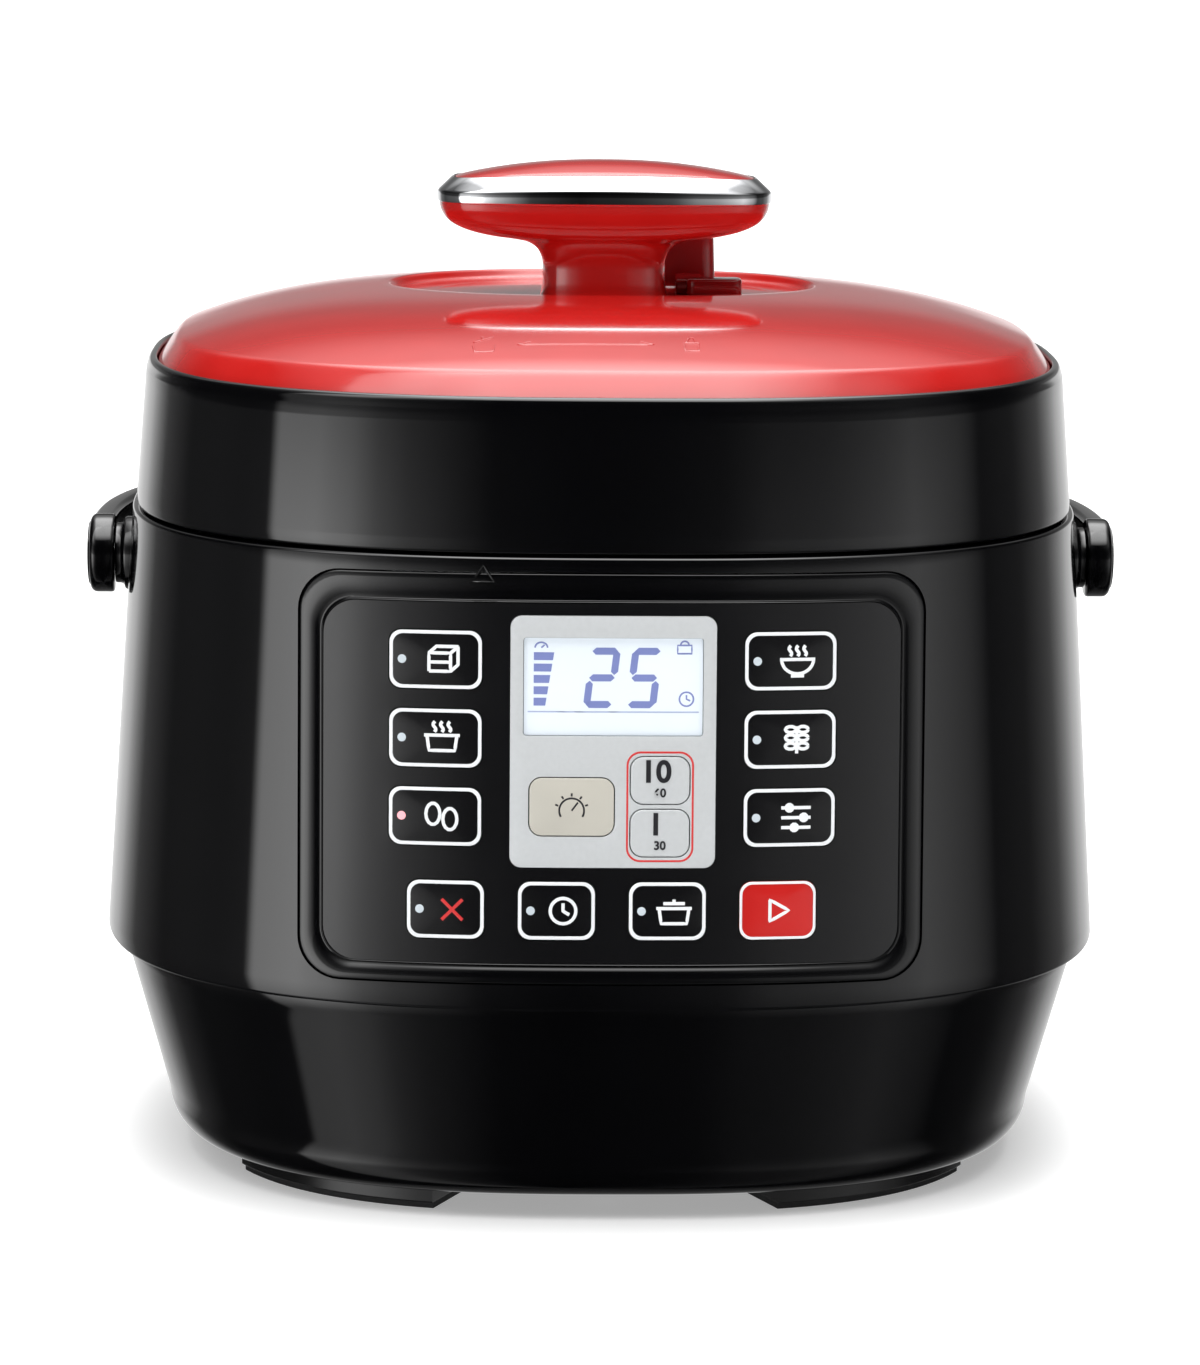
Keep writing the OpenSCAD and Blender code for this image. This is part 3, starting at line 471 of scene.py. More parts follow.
def panel_plate(name, outline, holes, front, back, step=0.003):
    """A plate that follows the curved face, with holes, from one depth to another."""
    points = [Vector(p) for p in outline]
    edges = [(i, (i + 1) % len(outline)) for i in range(len(outline))]
    for hole in holes:
        base = len(points)
        points += [Vector(p) for p in hole]
        edges += [(base + i, base + (i + 1) % len(hole)) for i in range(len(hole))]
    low_x, high_x = min(p[0] for p in outline), max(p[0] for p in outline)
    low_z, high_z = min(p[1] for p in outline), max(p[1] for p in outline)
    clear = step * 0.35
    # A grid of points inside, so that the plate bends with the face; none lie close to an edge
    x = low_x + step
    while x < high_x:
        z = low_z + step
        while z < high_z:
            corners = [(x + clear * i, z + clear * j) for i in (-1, 1) for j in (-1, 1)]
            solid = all(inside(c, outline) for c in corners)
            if solid and not any(inside(c, hole) for hole in holes for c in corners):
                points.append(Vector((x, z)))
            z += step
        x += step
    flat, _, triangles, *_ = delaunay_2d_cdt(points, edges, [], 0, 1e-7)
    kept = []
    for tri in triangles:
        middle = tuple(sum(flat[i][k] for i in tri) / 3 for k in (0, 1))
        if inside(middle, outline) and not any(inside(middle, hole) for hole in holes):
            kept.append(tuple(tri))
    uses = {}
    for tri in kept:
        for a, b in zip(tri, tri[1:] + tri[:1]):
            uses[(a, b)] = uses.get((a, b), 0) + 1
    count = len(flat)
    faces = kept + [tuple(count + i for i in reversed(tri)) for tri in kept]
    faces += [(b, a, count + a, count + b) for a, b in uses if (b, a) not in uses]
    used = sorted({i for face in faces for i in face})
    index = {old: new for new, old in enumerate(used)}
    vertices = [on_panel(*flat[i % count], front if i < count else back) for i in used]
    return make_object(name, vertices, [tuple(index[i] for i in face) for face in faces])


# Name, centre, width and height of each button on the panel's axes, in millimetres
MENU_X, ROWS, MENU_W, MENU_H = 42.8, (28.7, 9.7, -9.3), 22.4, 14.2
LOW_X, LOW_Z, LOW_W = 13.4, -31.9, 18.7
BUTTONS = {
    "left_top": (-MENU_X, ROWS[0], MENU_W, MENU_H),
    "left_middle": (-MENU_X, ROWS[1], MENU_W, MENU_H),
    "left_bottom": (-MENU_X, ROWS[2], MENU_W, MENU_H),
    "right_top": (MENU_X, ROWS[0], MENU_W, MENU_H),
    "right_middle": (MENU_X, ROWS[1], MENU_W, MENU_H),
    "right_bottom": (MENU_X, ROWS[2], MENU_W, MENU_H),
    "cancel": (-3 * LOW_X, LOW_Z, LOW_W, MENU_H),
    "timer": (-LOW_X, LOW_Z, LOW_W, MENU_H),
    "mode": (LOW_X, LOW_Z, LOW_W, MENU_H),
    "start": (3 * LOW_X, LOW_Z, LOW_W, MENU_H),
    "pressure": (-9.9, -6.6, 20.4, 14.0),
    "ten_minutes": (11.4, -0.1, 14.2, 11.4),
    "one_minute": (11.4, -12.9, 14.2, 11.4),
}
BEZEL_KEYS = ("pressure", "ten_minutes", "one_minute")
KEY_R = mm(3)


def key_hole(name):
    x, z, w, h = mm(*BUTTONS[name])
    return rounded_rect(x, z, w + 2 * BUTTON_GAP, h + 2 * BUTTON_GAP, KEY_R + BUTTON_GAP, corner=6)


def panel_sheet():
    outline = rounded_rect(0, SHEET_DZ, SHEET_W - mm(0.1), SHEET_H - mm(0.1), SHEET_R, parts=48)
    holes = [key_hole(n) for n in BUTTONS if n not in BEZEL_KEYS]
    holes.append(rounded_rect(0, BEZEL_DZ, BEZEL_W + mm(0.2), BEZEL_H + mm(0.2), BEZEL_R, parts=16))
    made = panel_plate("panel_overlay", outline, holes, SHEET_DEPTH, SHEET_DEPTH + mm(2))
    dress(made, PANEL_BLACK, "base", "panel_black", "panel_sheet")


def bezel():
    outline = rounded_rect(0, BEZEL_DZ, BEZEL_W, BEZEL_H, BEZEL_R, parts=16)
    window = rounded_rect(0, WINDOW_DZ, WINDOW_W, WINDOW_H, mm(0.8), corner=4)
    made = panel_plate("display_bezel", outline, [window] + [key_hole(n) for n in BEZEL_KEYS],
                       BEZEL_DEPTH, SHEET_DEPTH + mm(2), step=0.004)
    bevel(made, mm(0.12), 2)
    dress(made, SILVER, "base", "silver_plastic", "lcd_bezel")


def pillow(name, x, z, w, h, r, rim_depth, crown):
    """A key cap: straight sides, a rounded edge and a crowned face."""
    rings = [panel_ring(x, z, w, h, r, rim_depth + mm(3.4), corner=8)]
    edge = mm(0.35)
    for inset, rise in quarter(edge, 4):
        depth = rim_depth + edge - rise
        rings.append(panel_ring(x, z, w - 2 * inset, h - 2 * inset, r - inset * 0.6, depth, corner=8))
    inner_w, inner_h = w - 2 * edge, h - 2 * edge
    for k in range(1, 13):
        t = k / 12
        shrink = 1 - t * 0.985
        corner_r = max(r * shrink + mm(1.2) * t * (1 - t), mm(0.02))
        depth = rim_depth - crown * (1 - (1 - t) ** 2)
        rings.append(panel_ring(x, z, inner_w * shrink, inner_h * shrink, corner_r, depth, corner=8))
    return loft(name, rings)


KEY_FINISH = {"start": (RED_GLOSS, "red_gloss"), "pressure": (BEIGE, "button_beige"),
              "ten_minutes": (SILVER, "silver_plastic"), "one_minute": (SILVER, "silver_plastic")}
RIM_DEPTH = mm(0.5)
CROWN = {"pressure": mm(0.75), "ten_minutes": mm(0.05), "one_minute": mm(0.05)}
MENU_CROWN = mm(0.35)


def key_depth(name, x, z):
    """Depth of a key cap's face at a point, near enough for a mark to lie on it."""
    cx, cz, w, h = mm(*BUTTONS[name])
    share = max(abs(x - cx) / (w / 2), abs(z - cz) / (h / 2))
    t = 1 - min(share, 1)
    return RIM_DEPTH - CROWN.get(name, MENU_CROWN) * (1 - (1 - t) ** 2)


def keys():
    for name, sizes in BUTTONS.items():
        x, z, w, h = mm(*sizes)
        finish, slot = KEY_FINISH.get(name, (PANEL_BLACK, "panel_black"))
        rim = BEZEL_DEPTH - mm(0.05) if name in BEZEL_KEYS else RIM_DEPTH
        cap = pillow("key_cap_" + name, x, z, w, h, KEY_R, rim, CROWN.get(name, MENU_CROWN))
        dress(cap, finish, "key_" + name, slot, "button_" + name)
        if name in BEZEL_KEYS:
            continue
        line = mm(0.92) if name != "start" else mm(0.7)
        profile = [(0.08, 0.0), (0.12, 0.05), (0.3, 0.09), (0.7, 0.11), (0.92, 0.07), (1.0, -0.06)]
        sections = [(2 * t * line, t * line * 0.6, RIM_DEPTH - mm(lift + 0.01 + 0.12 * t))
                    for t, lift in profile]
        sections += [(2 * line, line * 0.6, RIM_DEPTH + mm(0.1)), (mm(0.2), 0, RIM_DEPTH + mm(0.1))]
        rings = [panel_ring(x, z, w - less, h - less, KEY_R - less_r, depth, corner=8)
                 for less, less_r, depth in sections]
        outline = loft("key_outline_" + name, rings, closed=True)
        dress(outline, PRINT_WHITE, "key_" + name, "panel_black")


# ---------- Marks ----------
def arc(cx, cz, rx, rz, start, end, count=14):
    """Points along an elliptical arc, between two angles in degrees."""
    turns = [math.radians(start + (end - start) * i / count) for i in range(count + 1)]
    return [(cx + rx * math.cos(t), cz + rz * math.sin(t)) for t in turns]


def grown(lines, parts=5):
    """Straight strokes with points along them, so that they follow a curved face."""
    result = []
    for line in lines:
        dense = [line[0]]
        for (x0, z0), (x1, z1) in zip(line, line[1:]):
            shares = [i / parts for i in range(1, parts + 1)]
            dense += [(x0 + (x1 - x0) * t, z0 + (z1 - z0) * t) for t in shares]
        result.append(dense)
    return result


def steam(cx, z):
    """Three wavy strokes of steam over a pot or a bowl."""
    wave = [(0.35 * math.sin(i * 1.1), z + i * 0.42) for i in range(7)]
    return [[(cx + dx + u, v) for u, v in wave] for dx in (-1.8, 0, 1.8)]


POT = [[(-3.6, 0.6), (-3.1, -3.0), (3.1, -3.0), (3.6, 0.6)], [(-4.3, 0.7), (4.3, 0.7)]]
BOWL = [arc(0, 0.4, 3.9, 3.5, 180, 360), [(-4.3, 0.4), (4.3, 0.4)], [(-1.6, -3.6), (1.6, -3.6)]]
MARKS = {
    "left_top": [[(-3.2, -2.8), (2.0, -2.8), (2.0, 1.6), (-3.2, 1.6), (-3.2, -2.8)],
                 [(-3.2, 1.6), (-1.4, 3.2), (3.8, 3.2), (2.0, 1.6)], [(3.8, 3.2), (3.8, -1.2), (2.0, -2.8)],
                 [(-3.2, -0.6), (2.0, -0.6)]],
    "left_middle": POT + steam(0, 1.5),
    "left_bottom": [arc(-2.1, 0.6, 1.7, 2.6, 0, 360), arc(2.0, -0.6, 1.7, 2.6, 0, 360)],
    "right_top": BOWL + steam(0, 1.2),
    "right_middle": [[(0, -3.4), (0, 3.2)]]
                    + [arc(x, z, 1.3, 0.75, 0, 360, 10) for x in (-1.5, 1.5) for z in (-1.6, 0.4, 2.4)],
    "right_bottom": [[(-3.6, z), (3.6, z)] for z in (-2.4, 0, 2.4)]
                    + [arc(x, z, 0.8, 0.8, 0, 360, 10) for x, z in ((-1.6, 2.4), (1.9, 0), (-0.4, -2.4))],
    "cancel": [[(-2.5, -2.5), (2.5, 2.5)], [(-2.5, 2.5), (2.5, -2.5)]],
    "timer": [arc(0, 0, 3.1, 3.1, 0, 360, 24), [(0, 1.9), (0, 0), (1.5, -0.9)]],
    "mode": POT + [[(-2.6, 1.9), (2.6, 1.9)], [(0, 1.9), (0, 2.9)]],
    "start": [[(-1.9, -2.6), (-1.9, 2.6), (2.7, 0), (-1.9, -2.6), (-1.9, 2.6)]],
}
MARK_SHIFT = mm(1.6)
MARK_LINE = mm(0.8)
MARK_LIFT = mm(0.09)


def key_marks():
    for name, lines in MARKS.items():
        x, z, *_ = mm(*BUTTONS[name])
        shift = 0 if name == "start" else MARK_SHIFT

        def place(u, v, lift, name=name):
            return on_panel(u, v, key_depth(name, u, v) - lift)

        moved = [[(x + shift + mm(u), z + mm(v)) for u, v in line] for line in lines]
        made = bead("key_mark_" + name, grown(moved), MARK_LINE, MARK_LIFT, place)
        dress(made, PRINT_RED if name == "cancel" else PRINT_WHITE, "key_" + name, "panel_black")


def figure(name, text, x, z, size, depth, body):
    """Plain numbers printed on the curved face."""
    curve = bpy.data.curves.new(name, "FONT")
    curve.body = text
    curve.size = size
    curve.align_x = "CENTER"
    curve.align_y = "CENTER"
    curve.extrude = mm(0.04)
    curve.offset = size * 0.028
    drawn = bpy.data.objects.new(name + "_text", curve)
    bpy.context.scene.collection.objects.link(drawn)
    bpy.context.view_layer.update()
    graph = bpy.context.evaluated_depsgraph_get()
    mesh = bpy.data.meshes.new_from_object(drawn.evaluated_get(graph))
    mesh.name = name
    bpy.data.objects.remove(drawn)
    for vertex in mesh.vertices:
        vertex.co = on_panel(x + vertex.co.x, z + vertex.co.y, depth - vertex.co.z)
    made = bpy.data.objects.new(name, mesh)
    bpy.context.scene.collection.objects.link(made)
    dress(made, PRINT_DARK, body, "silver_plastic")


def time_keys():
    depth = BEZEL_DEPTH - mm(0.17)
    for name, big, small in (("ten_minutes", "10", "60"), ("one_minute", "1", "30")):
        x, z, *_ = mm(*BUTTONS[name])
        body = "key_" + name
        figure("number_" + name, big, x - mm(1.0), z + mm(1.9), mm(7.4), depth, body)
        figure("number_small_" + name, small, x, z - mm(3.1), mm(2.9), depth, body)
    x, z = mm(BUTTONS["one_minute"][0], -6.5)
    loop = rounded_rect(x, z, mm(15.8), mm(26.4), mm(3.2), corner=8)

    def place(u, v, lift):
        return on_panel(u, v, BEZEL_DEPTH - lift)

    line = bead("time_outline", [loop], mm(0.5), mm(0.07), place, closed=True)
    dress(line, PRINT_RED, "base", "silver_plastic")


def pressure_mark():
    """A dial with a pointer on the pressure key."""
    x, z, *_ = mm(*BUTTONS["pressure"])
    lines = [arc(0, -0.8, 3.0, 3.0, -30, 210, 20), [(0, -0.8), (1.5, 1.2)]]
    for t in (math.radians(degrees) for degrees in (20, 55, 90, 125, 160)):
        lines.append([(r * math.cos(t), -0.8 + r * math.sin(t)) for r in (3.45, 4.2)])
    moved = [[(x + mm(u), z + mm(v)) for u, v in line] for line in lines]

    def place(u, v, lift):
        return on_panel(u, v, key_depth("pressure", u, v) - mm(0.08) - lift)

    made = bead("key_mark_pressure", grown(moved, 3), mm(0.5), mm(0.08), place)
    dress(made, PRINT_DARK, "key_pressure", "button_beige")


# ---------- Display ----------
SCREEN_DEPTH = mm(1.5)
DIGIT_W, DIGIT_H, DIGIT_T, DIGIT_SLANT = 7.4, 14.6, 1.7, 0.12
SEGMENTS = {"2": "abged", "5": "afgcd"}


def segment_shapes(digit):
    """The bars of one seven-segment digit, as outlines round its own centre."""
    w, h, t, gap = DIGIT_W / 2, DIGIT_H / 2, DIGIT_T / 2, 0.28
    across = {"a": h - t, "g": 0, "d": -h + t}
    upright = {"f": (-w + t, 1), "b": (w - t, 1), "e": (-w + t, -1), "c": (w - t, -1)}
    shapes = []
    for bar in SEGMENTS[digit]:
        if bar in across:
            z, reach = across[bar], w - t - gap
            far, near = reach + t * 0.6, reach - t * 0.4
            shapes.append([(-far, z), (-near, z + t), (near, z + t), (far, z), (near, z - t), (-near, z - t)])
        else:
            x, side = upright[bar]
            low, high = gap + t * 0.5, h - t - gap
            start, end = side * (low + t * 0.9), side * (high - t * 0.4)
            shapes.append([(x, side * low), (x + t, start), (x + t, end), (x, side * (high + t * 0.5)),
                           (x - t, end), (x - t, start)])
    return [[(x + z * DIGIT_SLANT, z) for x, z in shape] for shape in shapes]


def flat_marks(name, shapes, finish):
    """Thin patches on the curved screen, from outlines in millimetres."""
    vertices, faces = [], []
    for shape in shapes:
        base, count = len(vertices), len(shape)
        for lift in (0.05, -0.05):
            vertices += [on_panel(mm(x), mm(z), SCREEN_DEPTH - mm(lift)) for x, z in shape]
        faces.append(tuple(base + i for i in range(count)))
        faces.append(tuple(base + count + i for i in reversed(range(count))))
        for i in range(count):
            n = (i + 1) % count
            faces.append((base + i, base + count + i, base + count + n, base + n))
    dress(make_object(name, vertices, faces), finish, "base", "lcd")


def display():
    outline = rounded_rect(0, WINDOW_DZ, WINDOW_W - mm(0.3), WINDOW_H - mm(0.3), mm(0.6), corner=4)
    screen = panel_plate("display_screen", outline, [], SCREEN_DEPTH, SHEET_DEPTH + mm(2))
    dress(screen, SCREEN, "base", "lcd", "lcd_glass")
    middle = WINDOW_DZ * 1000
    digits = []
    for digit, x in (("2", -2.8), ("5", 7.4)):
        digits += [[(px + x, pz + middle + 2.2) for px, pz in shape] for shape in segment_shapes(digit)]
    flat_marks("display_digits", digits, SEGMENT)
    bars = []
    for i in range(5):
        z = middle - 4.6 + i * 2.75
        width = 2.8 + i * 0.45
        bars.append([(-19.2, z), (-19.2 + width, z), (-19.2 + width + 0.3, z + 1.9), (-19.2, z + 1.9)])
    flat_marks("display_bars", bars, SEGMENT)
    line, low, high = [], middle - 6.2, middle - 5.9
    for i in range(20):
        x0, x1 = -20.6 + 2.06 * i, -20.6 + 2.06 * (i + 1)
        line.append([(x0, low), (x1, low), (x1, high), (x0, high)])
    flat_marks("display_line", line, SEGMENT_PALE)

    def on_screen(u, v, lift):
        return on_panel(u, v, SCREEN_DEPTH - lift)

    hands = [(17.6, -1.9), (17.6, -2.9), (18.5, -3.3)]
    case = [(15.4, 8.1), (18.8, 8.1), (18.8, 10.1), (15.4, 10.1), (15.4, 8.1), (18.8, 8.1)]
    lines = [arc(17.6, -2.9, 1.7, 1.7, 0, 360, 20), hands, case, arc(17.1, 10.1, 1.0, 1.0, 180, 0, 10),
             arc(-17.4, 9.4, 1.5, 1.3, 0, 180, 12), [(-17.4, 9.4), (-16.6, 10.1)]]
    lines = [[(mm(x), mm(middle + z)) for x, z in line] for line in lines]
    dress(bead("display_symbols", grown(lines, 2), mm(0.42), mm(0.05), on_screen), SEGMENT, "base", "lcd")


def lamps():
    """A small round lens in each key of the panel; the lamp of the running programme is lit, and the unlit
    lenses carry a faint painted glow.
    """
    r, bulge = mm(1.05), mm(0.16)
    dome = [(r * math.cos(t), bulge * math.sin(t)) for t in (math.radians(d) for d in range(0, 90, 15))]
    profile = [(r, -mm(2.0))] + dome + [(mm(0.02), bulge)]
    for name in list(BUTTONS)[:9]:
        x, z, w, _ = mm(*BUTTONS[name])
        x = x - w / 2 + mm(3.1)
        depth = key_depth(name, x, z) - mm(0.02)

        def place(u, v, lift, x=x, z=z, depth=depth):
            return on_panel(x + u, z + v, depth - lift)

        lens = lathe("lamp_" + name, profile, place, count=32)
        stands_for = ["light_pipes"] if name == "left_top" else []
        dress(lens, LENS_LIT if name == "left_bottom" else LENS_PAINTED_GLOW, "key_" + name, "light_pipe", *stands_for)


# ---------- Housings ----------
WALL = mm(2.8)


def prism_cutter(name, w, h, r):
    """A block through the front wall, square to the panel."""
    outline = rounded_rect(0, 0, w, h, r)
    return loft(name, [[panel_point(x, y, z) for x, z in outline] for y in mm(-20, 45)])


def upper_shell():
    top = BODY_TOP
    hole_a = mm(106.4) / DEPTH_RATIO
    edge = mm(0.9)
    rings = [level(body_a(BODY_BOTTOM) - mm(1.6), BODY_BOTTOM)]
    for inset, rise in reversed(quarter(edge, 4)):
        rings.append(level(body_a(BODY_BOTTOM + edge) - inset, BODY_BOTTOM + edge - rise))
    low, high = BODY_BOTTOM + edge, top - edge
    rings += levels(body_a, low, high, [i / 30 for i in range(1, 30)])
    rings += [level(body_a(high) - inset, high + rise) for inset, rise in quarter(edge, 5)]
    rings += [level(hole_a + mm(0.5), top), level(hole_a, top - mm(0.5)), level(hole_a, top - mm(3)),
              level(body_a(top) - WALL, top - mm(3)), level(body_a(BODY_BOTTOM) - WALL, BODY_BOTTOM)]
    shell = loft("upper_shell", rings, closed=True)
    inlet_low, inlet_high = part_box("power_inlet")
    gap = mm(0.2)
    inlet = slab("inlet_cutter", [(inlet_low.x - gap, mm(100)), (inlet_high.x + gap, mm(100)),
                                  (inlet_high.x + gap, mm(140)), (inlet_low.x - gap, mm(140))],
                 inlet_low.z - gap, inlet_high.z + gap)
    opening = prism_cutter("panel_cutter", FRAME_W + mm(0.5), FRAME_H + mm(0.5), FRAME_R + mm(0.25))
    cut(shell, [opening, inlet])
    dress(shell, BLACK_GLOSS, "base", "black_gloss", "upper_housing")


def lower_shell():
    top = SHOULDER_Z - mm(0.2)
    foot = lower_a(CORNER_Z)
    edge = mm(0.5)
    rings = [level(lower_a(top) - inset, top - edge + rise) for inset, rise in reversed(quarter(edge, 4))]
    rings += levels(lower_a, top - edge, CORNER_Z, [i / 14 for i in range(1, 14)])
    for i in range(13):
        t = math.radians(i * 7.5)
        z = CORNER_Z - (CORNER_Z - FLOOR_Z) * math.sin(t)
        rings.append(level(foot - CORNER_R * (1 - math.cos(t)), z))
    lip_a, inner_a, flat_a = lower_a(top) - mm(1.6), lower_a(top) - WALL - mm(1), mm(84)
    inside_of_shell = [(flat_a, FLOOR_Z), (flat_a, FLOOR_Z + WALL), (foot - CORNER_R, FLOOR_Z + WALL),
                       (foot - WALL - mm(1), CORNER_Z), (inner_a, top - mm(3)), (inner_a, top + mm(4)),
                       (lip_a, top + mm(4)), (lip_a, top)]
    rings += [level(a, z) for a, z in inside_of_shell]
    shell = loft("lower_shell", rings, closed=True)
    dress(shell, BLACK_GLOSS, "base", "black_gloss", "lower_housing")


def feet():
    """Four wide feet, each a stretch of the outline band with a rubber pad under it."""
    outer_a, width = mm(102.6), mm(19)
    pad_top, foot_top = mm(1.6), FLOOR_Z
    names = ("front_left", "front_right", "rear_right", "rear_left")

    def band(inset, z, mirror_x, mirror_y):
        start, end = math.radians(213 + inset * 120), math.radians(246 - inset * 120)
        ring = []
        for a, order in ((outer_a - inset, range(17)), (outer_a - width + inset, reversed(range(17)))):
            for i in order:
                x, y = superellipse_point(start + (end - start) * i / 16, a, a * DEPTH_RATIO)
                ring.append(Vector((x * mirror_x, y * mirror_y, z)))
        return ring

    for name, mx, my in zip(names, (1, -1, -1, 1), (1, 1, -1, -1)):
        foot = loft("foot_" + name, [band(0, foot_top, mx, my), band(0, pad_top + mm(0.4), mx, my),
                                     band(mm(0.4), pad_top, mx, my)])
        pad = loft("pad_" + name, [band(mm(0.9), pad_top, mx, my), band(mm(0.9), mm(0.3), mx, my),
                                   band(mm(1.2), 0, mx, my)])
        first = name == names[0]
        dress(foot, BLACK_SATIN, "base", "black_gloss", *(["feet"] if first else []))
        dress(pad, RUBBER, "base", "rubber", *(["foot_pads"] if first else []))


def body_triangle():
    """The raised triangle on the body that the lid's marks are set against."""
    x, z, w, h = mm(-31.4), mm(163.2), mm(5.4), mm(4.0)
    corners = [(x - w / 2, z - h / 2), (x + w / 2, z - h / 2), (x, z + h / 2)]

    def place(u, v, lift):
        return Vector((u, front_y(u, body_a(v)) - lift, v))

    loop = corners + [corners[0], corners[1]]
    made = bead("body_mark", grown([loop]), mm(0.55), mm(0.3), place)
    dress(made, BLACK_GLOSS, "base", "black_gloss")


# ---------- Lid ----------
def lid_ring():
    edge = mm(0.9)
    low, high = RING_BOTTOM + edge, RING_TOP - mm(3.2)
    rings = [level(ring_a(low) - inset, low - rise) for inset, rise in reversed(quarter(edge, 5))]
    rings += levels(ring_a, low, high, [i / 12 for i in range(1, 13)])
    rim_a, lip_a = ring_a(RING_TOP), COVER_A + mm(0.35)
    lip = smooth_path([(ring_a(high), high), (rim_a - mm(0.1), RING_TOP - mm(2)),
                       (rim_a - mm(0.4), RING_TOP - mm(0.9)), (rim_a - mm(0.95), RING_TOP - mm(0.25)),
                       (COVER_A + mm(1.0), RING_TOP - mm(0.05)), (COVER_A + mm(0.55), RING_TOP - mm(0.2)),
                       (lip_a, RING_TOP - mm(0.8))], 4)
    ledge, ledge_a = RING_TOP - mm(6.6), COVER_A - mm(5)
    under = [(lip_a, ledge), (ledge_a, ledge), (ledge_a, ledge - mm(2.4)),
             (ring_a(ledge) - WALL, ledge - mm(4.6)), (ring_a(RING_BOTTOM) - WALL, RING_BOTTOM)]
    rings += [level(a, z) for a, z in lip[1:] + under]
    made = loft("lid_band", rings, closed=True)
    dress(made, BLACK_GLOSS, "lid", "black_gloss", "lid_ring")


RECESS_W, RECESS_D, RECESS_R, RECESS_Y = mm(112, 88, 43.9, 14)


def cover_height(x, y):
    """Height of the dome over a point."""
    a = (abs(x) ** CORNER_POWER + abs(y / DEPTH_RATIO) ** CORNER_POWER) ** (1 / CORNER_POWER)
    return dome_z(min(a, CREASE_A))


def recess_point(t, inset):
    """A point of the recess's outline at an angle from its centre, moved inwards."""
    w, d = RECESS_W / 2 - inset, RECESS_D / 2 - inset
    r = RECESS_R - inset
    straight = w - r
    c, s = math.cos(t), math.sin(t)
    if abs(c) * d <= straight * abs(s):
        scale = d / abs(s)
        return c * scale, RECESS_Y + s * scale
    shift = straight * (1 if c > 0 else -1)
    along = c * shift
    scale = along + math.sqrt(max(along**2 - shift**2 + r**2, 0))
    return c * scale, RECESS_Y + s * scale


def lid_cover():
    """The red cover: a dome with a flat oval recess, a soft crease and a steep bevel."""
    angles = [2 * math.pi * i / AROUND for i in range(AROUND)]
    rings = []
    floor_edge = [recess_point(t, mm(2.4)) for t in angles]
    for share in (0.02, 0.25, 0.5, 0.75, 0.95):
        rings.append([Vector((x * share, RECESS_Y + (y - RECESS_Y) * share, KNOB_Z)) for x, y in floor_edge])
    wall = [(2.2, 0.0), (1.8, 0.03), (1.4, 0.14), (1.0, 0.38), (0.65, 0.66), (0.3, 0.87), (0.0, 0.97),
            (-0.5, 1.0)]
    for inset, share in wall:
        points = [recess_point(t, mm(inset)) for t in angles]
        rings.append([Vector((x, y, KNOB_Z + (cover_height(x, y) - KNOB_Z) * share)) for x, y in points])
    soft_a = CREASE_A - mm(1.6)
    crease = squircle(soft_a, soft_a * DEPTH_RATIO)
    steps = 22
    for k in range(1, steps + 1):
        share = k / steps
        ring = []
        for t, (cx, cy) in zip(angles, crease):
            x, y = recess_point(t, mm(-0.5))
            px, py = x + (cx - x) * share, y + (cy - y) * share
            ring.append(Vector((px, py, cover_height(px, py))))
        rings.append(ring)
    edge_z, skirt_z = COVER_EDGE_Z, RING_TOP - mm(6.4)
    shoulder = smooth_path([(soft_a, dome_z(soft_a)), (CREASE_A - mm(0.7), dome_z(CREASE_A) + mm(0.2)),
                            (CREASE_A + mm(0.35), CREASE_Z - mm(0.75)), (COVER_A - mm(2.1), edge_z + mm(3.0)),
                            (COVER_A - mm(0.65), edge_z + mm(0.9)), (COVER_A - mm(0.1), edge_z + mm(0.1)),
                            (COVER_A, edge_z - mm(0.7)), (COVER_A, skirt_z)], 4)
    rings += [level(a, z) for a, z in shoulder[1:]]
    wall_t = mm(2.6)
    rings.append(level(COVER_A - wall_t, skirt_z))
    rings.append(level(COVER_A - wall_t, edge_z - mm(1.2)))
    for share in (0.97, 0.8, 0.6, 0.4, 0.2, 0.02):
        a = CREASE_A * share
        rings.append(level(a, dome_z(a) - wall_t))
    made = loft("lid_shell", rings)
    dress(made, RED_GLOSS, "lid", "red_gloss", "lid_cover")


def lid_marks():
    """Raised marks on the front of the cover: a pot with its lid off, a lock, and an arrow between them."""

    def place(u, v, lift):
        return Vector((u, v, cover_height(u, v) + lift))

    stretch = 2.6
    y = mm(-93)

    def put(x, lines):
        return [[(mm(x) + mm(u), y + mm(v * stretch)) for u, v in line] for line in lines]

    open_pot = [[(-2.6, 0.1), (-2.2, -1.5), (2.2, -1.5), (2.6, 0.1)], [(-2.4, 0.9), (2.3, 2.2)],
                [(-0.2, 1.6), (-0.5, 2.4)]]
    lock = [[(-1.7, -1.4), (1.7, -1.4), (1.7, 0.6), (-1.7, 0.6), (-1.7, -1.4), (1.7, -1.4)],
            arc(0, 0.6, 1.05, 1.5, 180, 0, 10)]
    arrow = [[(-16, 0), (16, 0)]]
    arrow += [[(side * 13.4, 0.75), (side * 16.4, 0), (side * 13.4, -0.1)] for side in (-1, 1)]
    lines = put(-31.5, open_pot) + put(19.1, lock) + put(-6.7, arrow)
    made = bead("lid_marks", grown(lines, 4), mm(0.55), mm(0.22), place)
    dress(made, RED_GLOSS, "lid", "red_gloss")


# ---------- Knob ----------
def knob_ring(a, b, z, arch=0.0):
    """An outline of the knob, which falls by arch from its middle to its ends."""
    return [Vector((x, y, z - arch * (x / KNOB_A) ** 2)) for x, y in squircle(a, b, KNOB_POWER, 160)]


ARCH = mm(1.5)


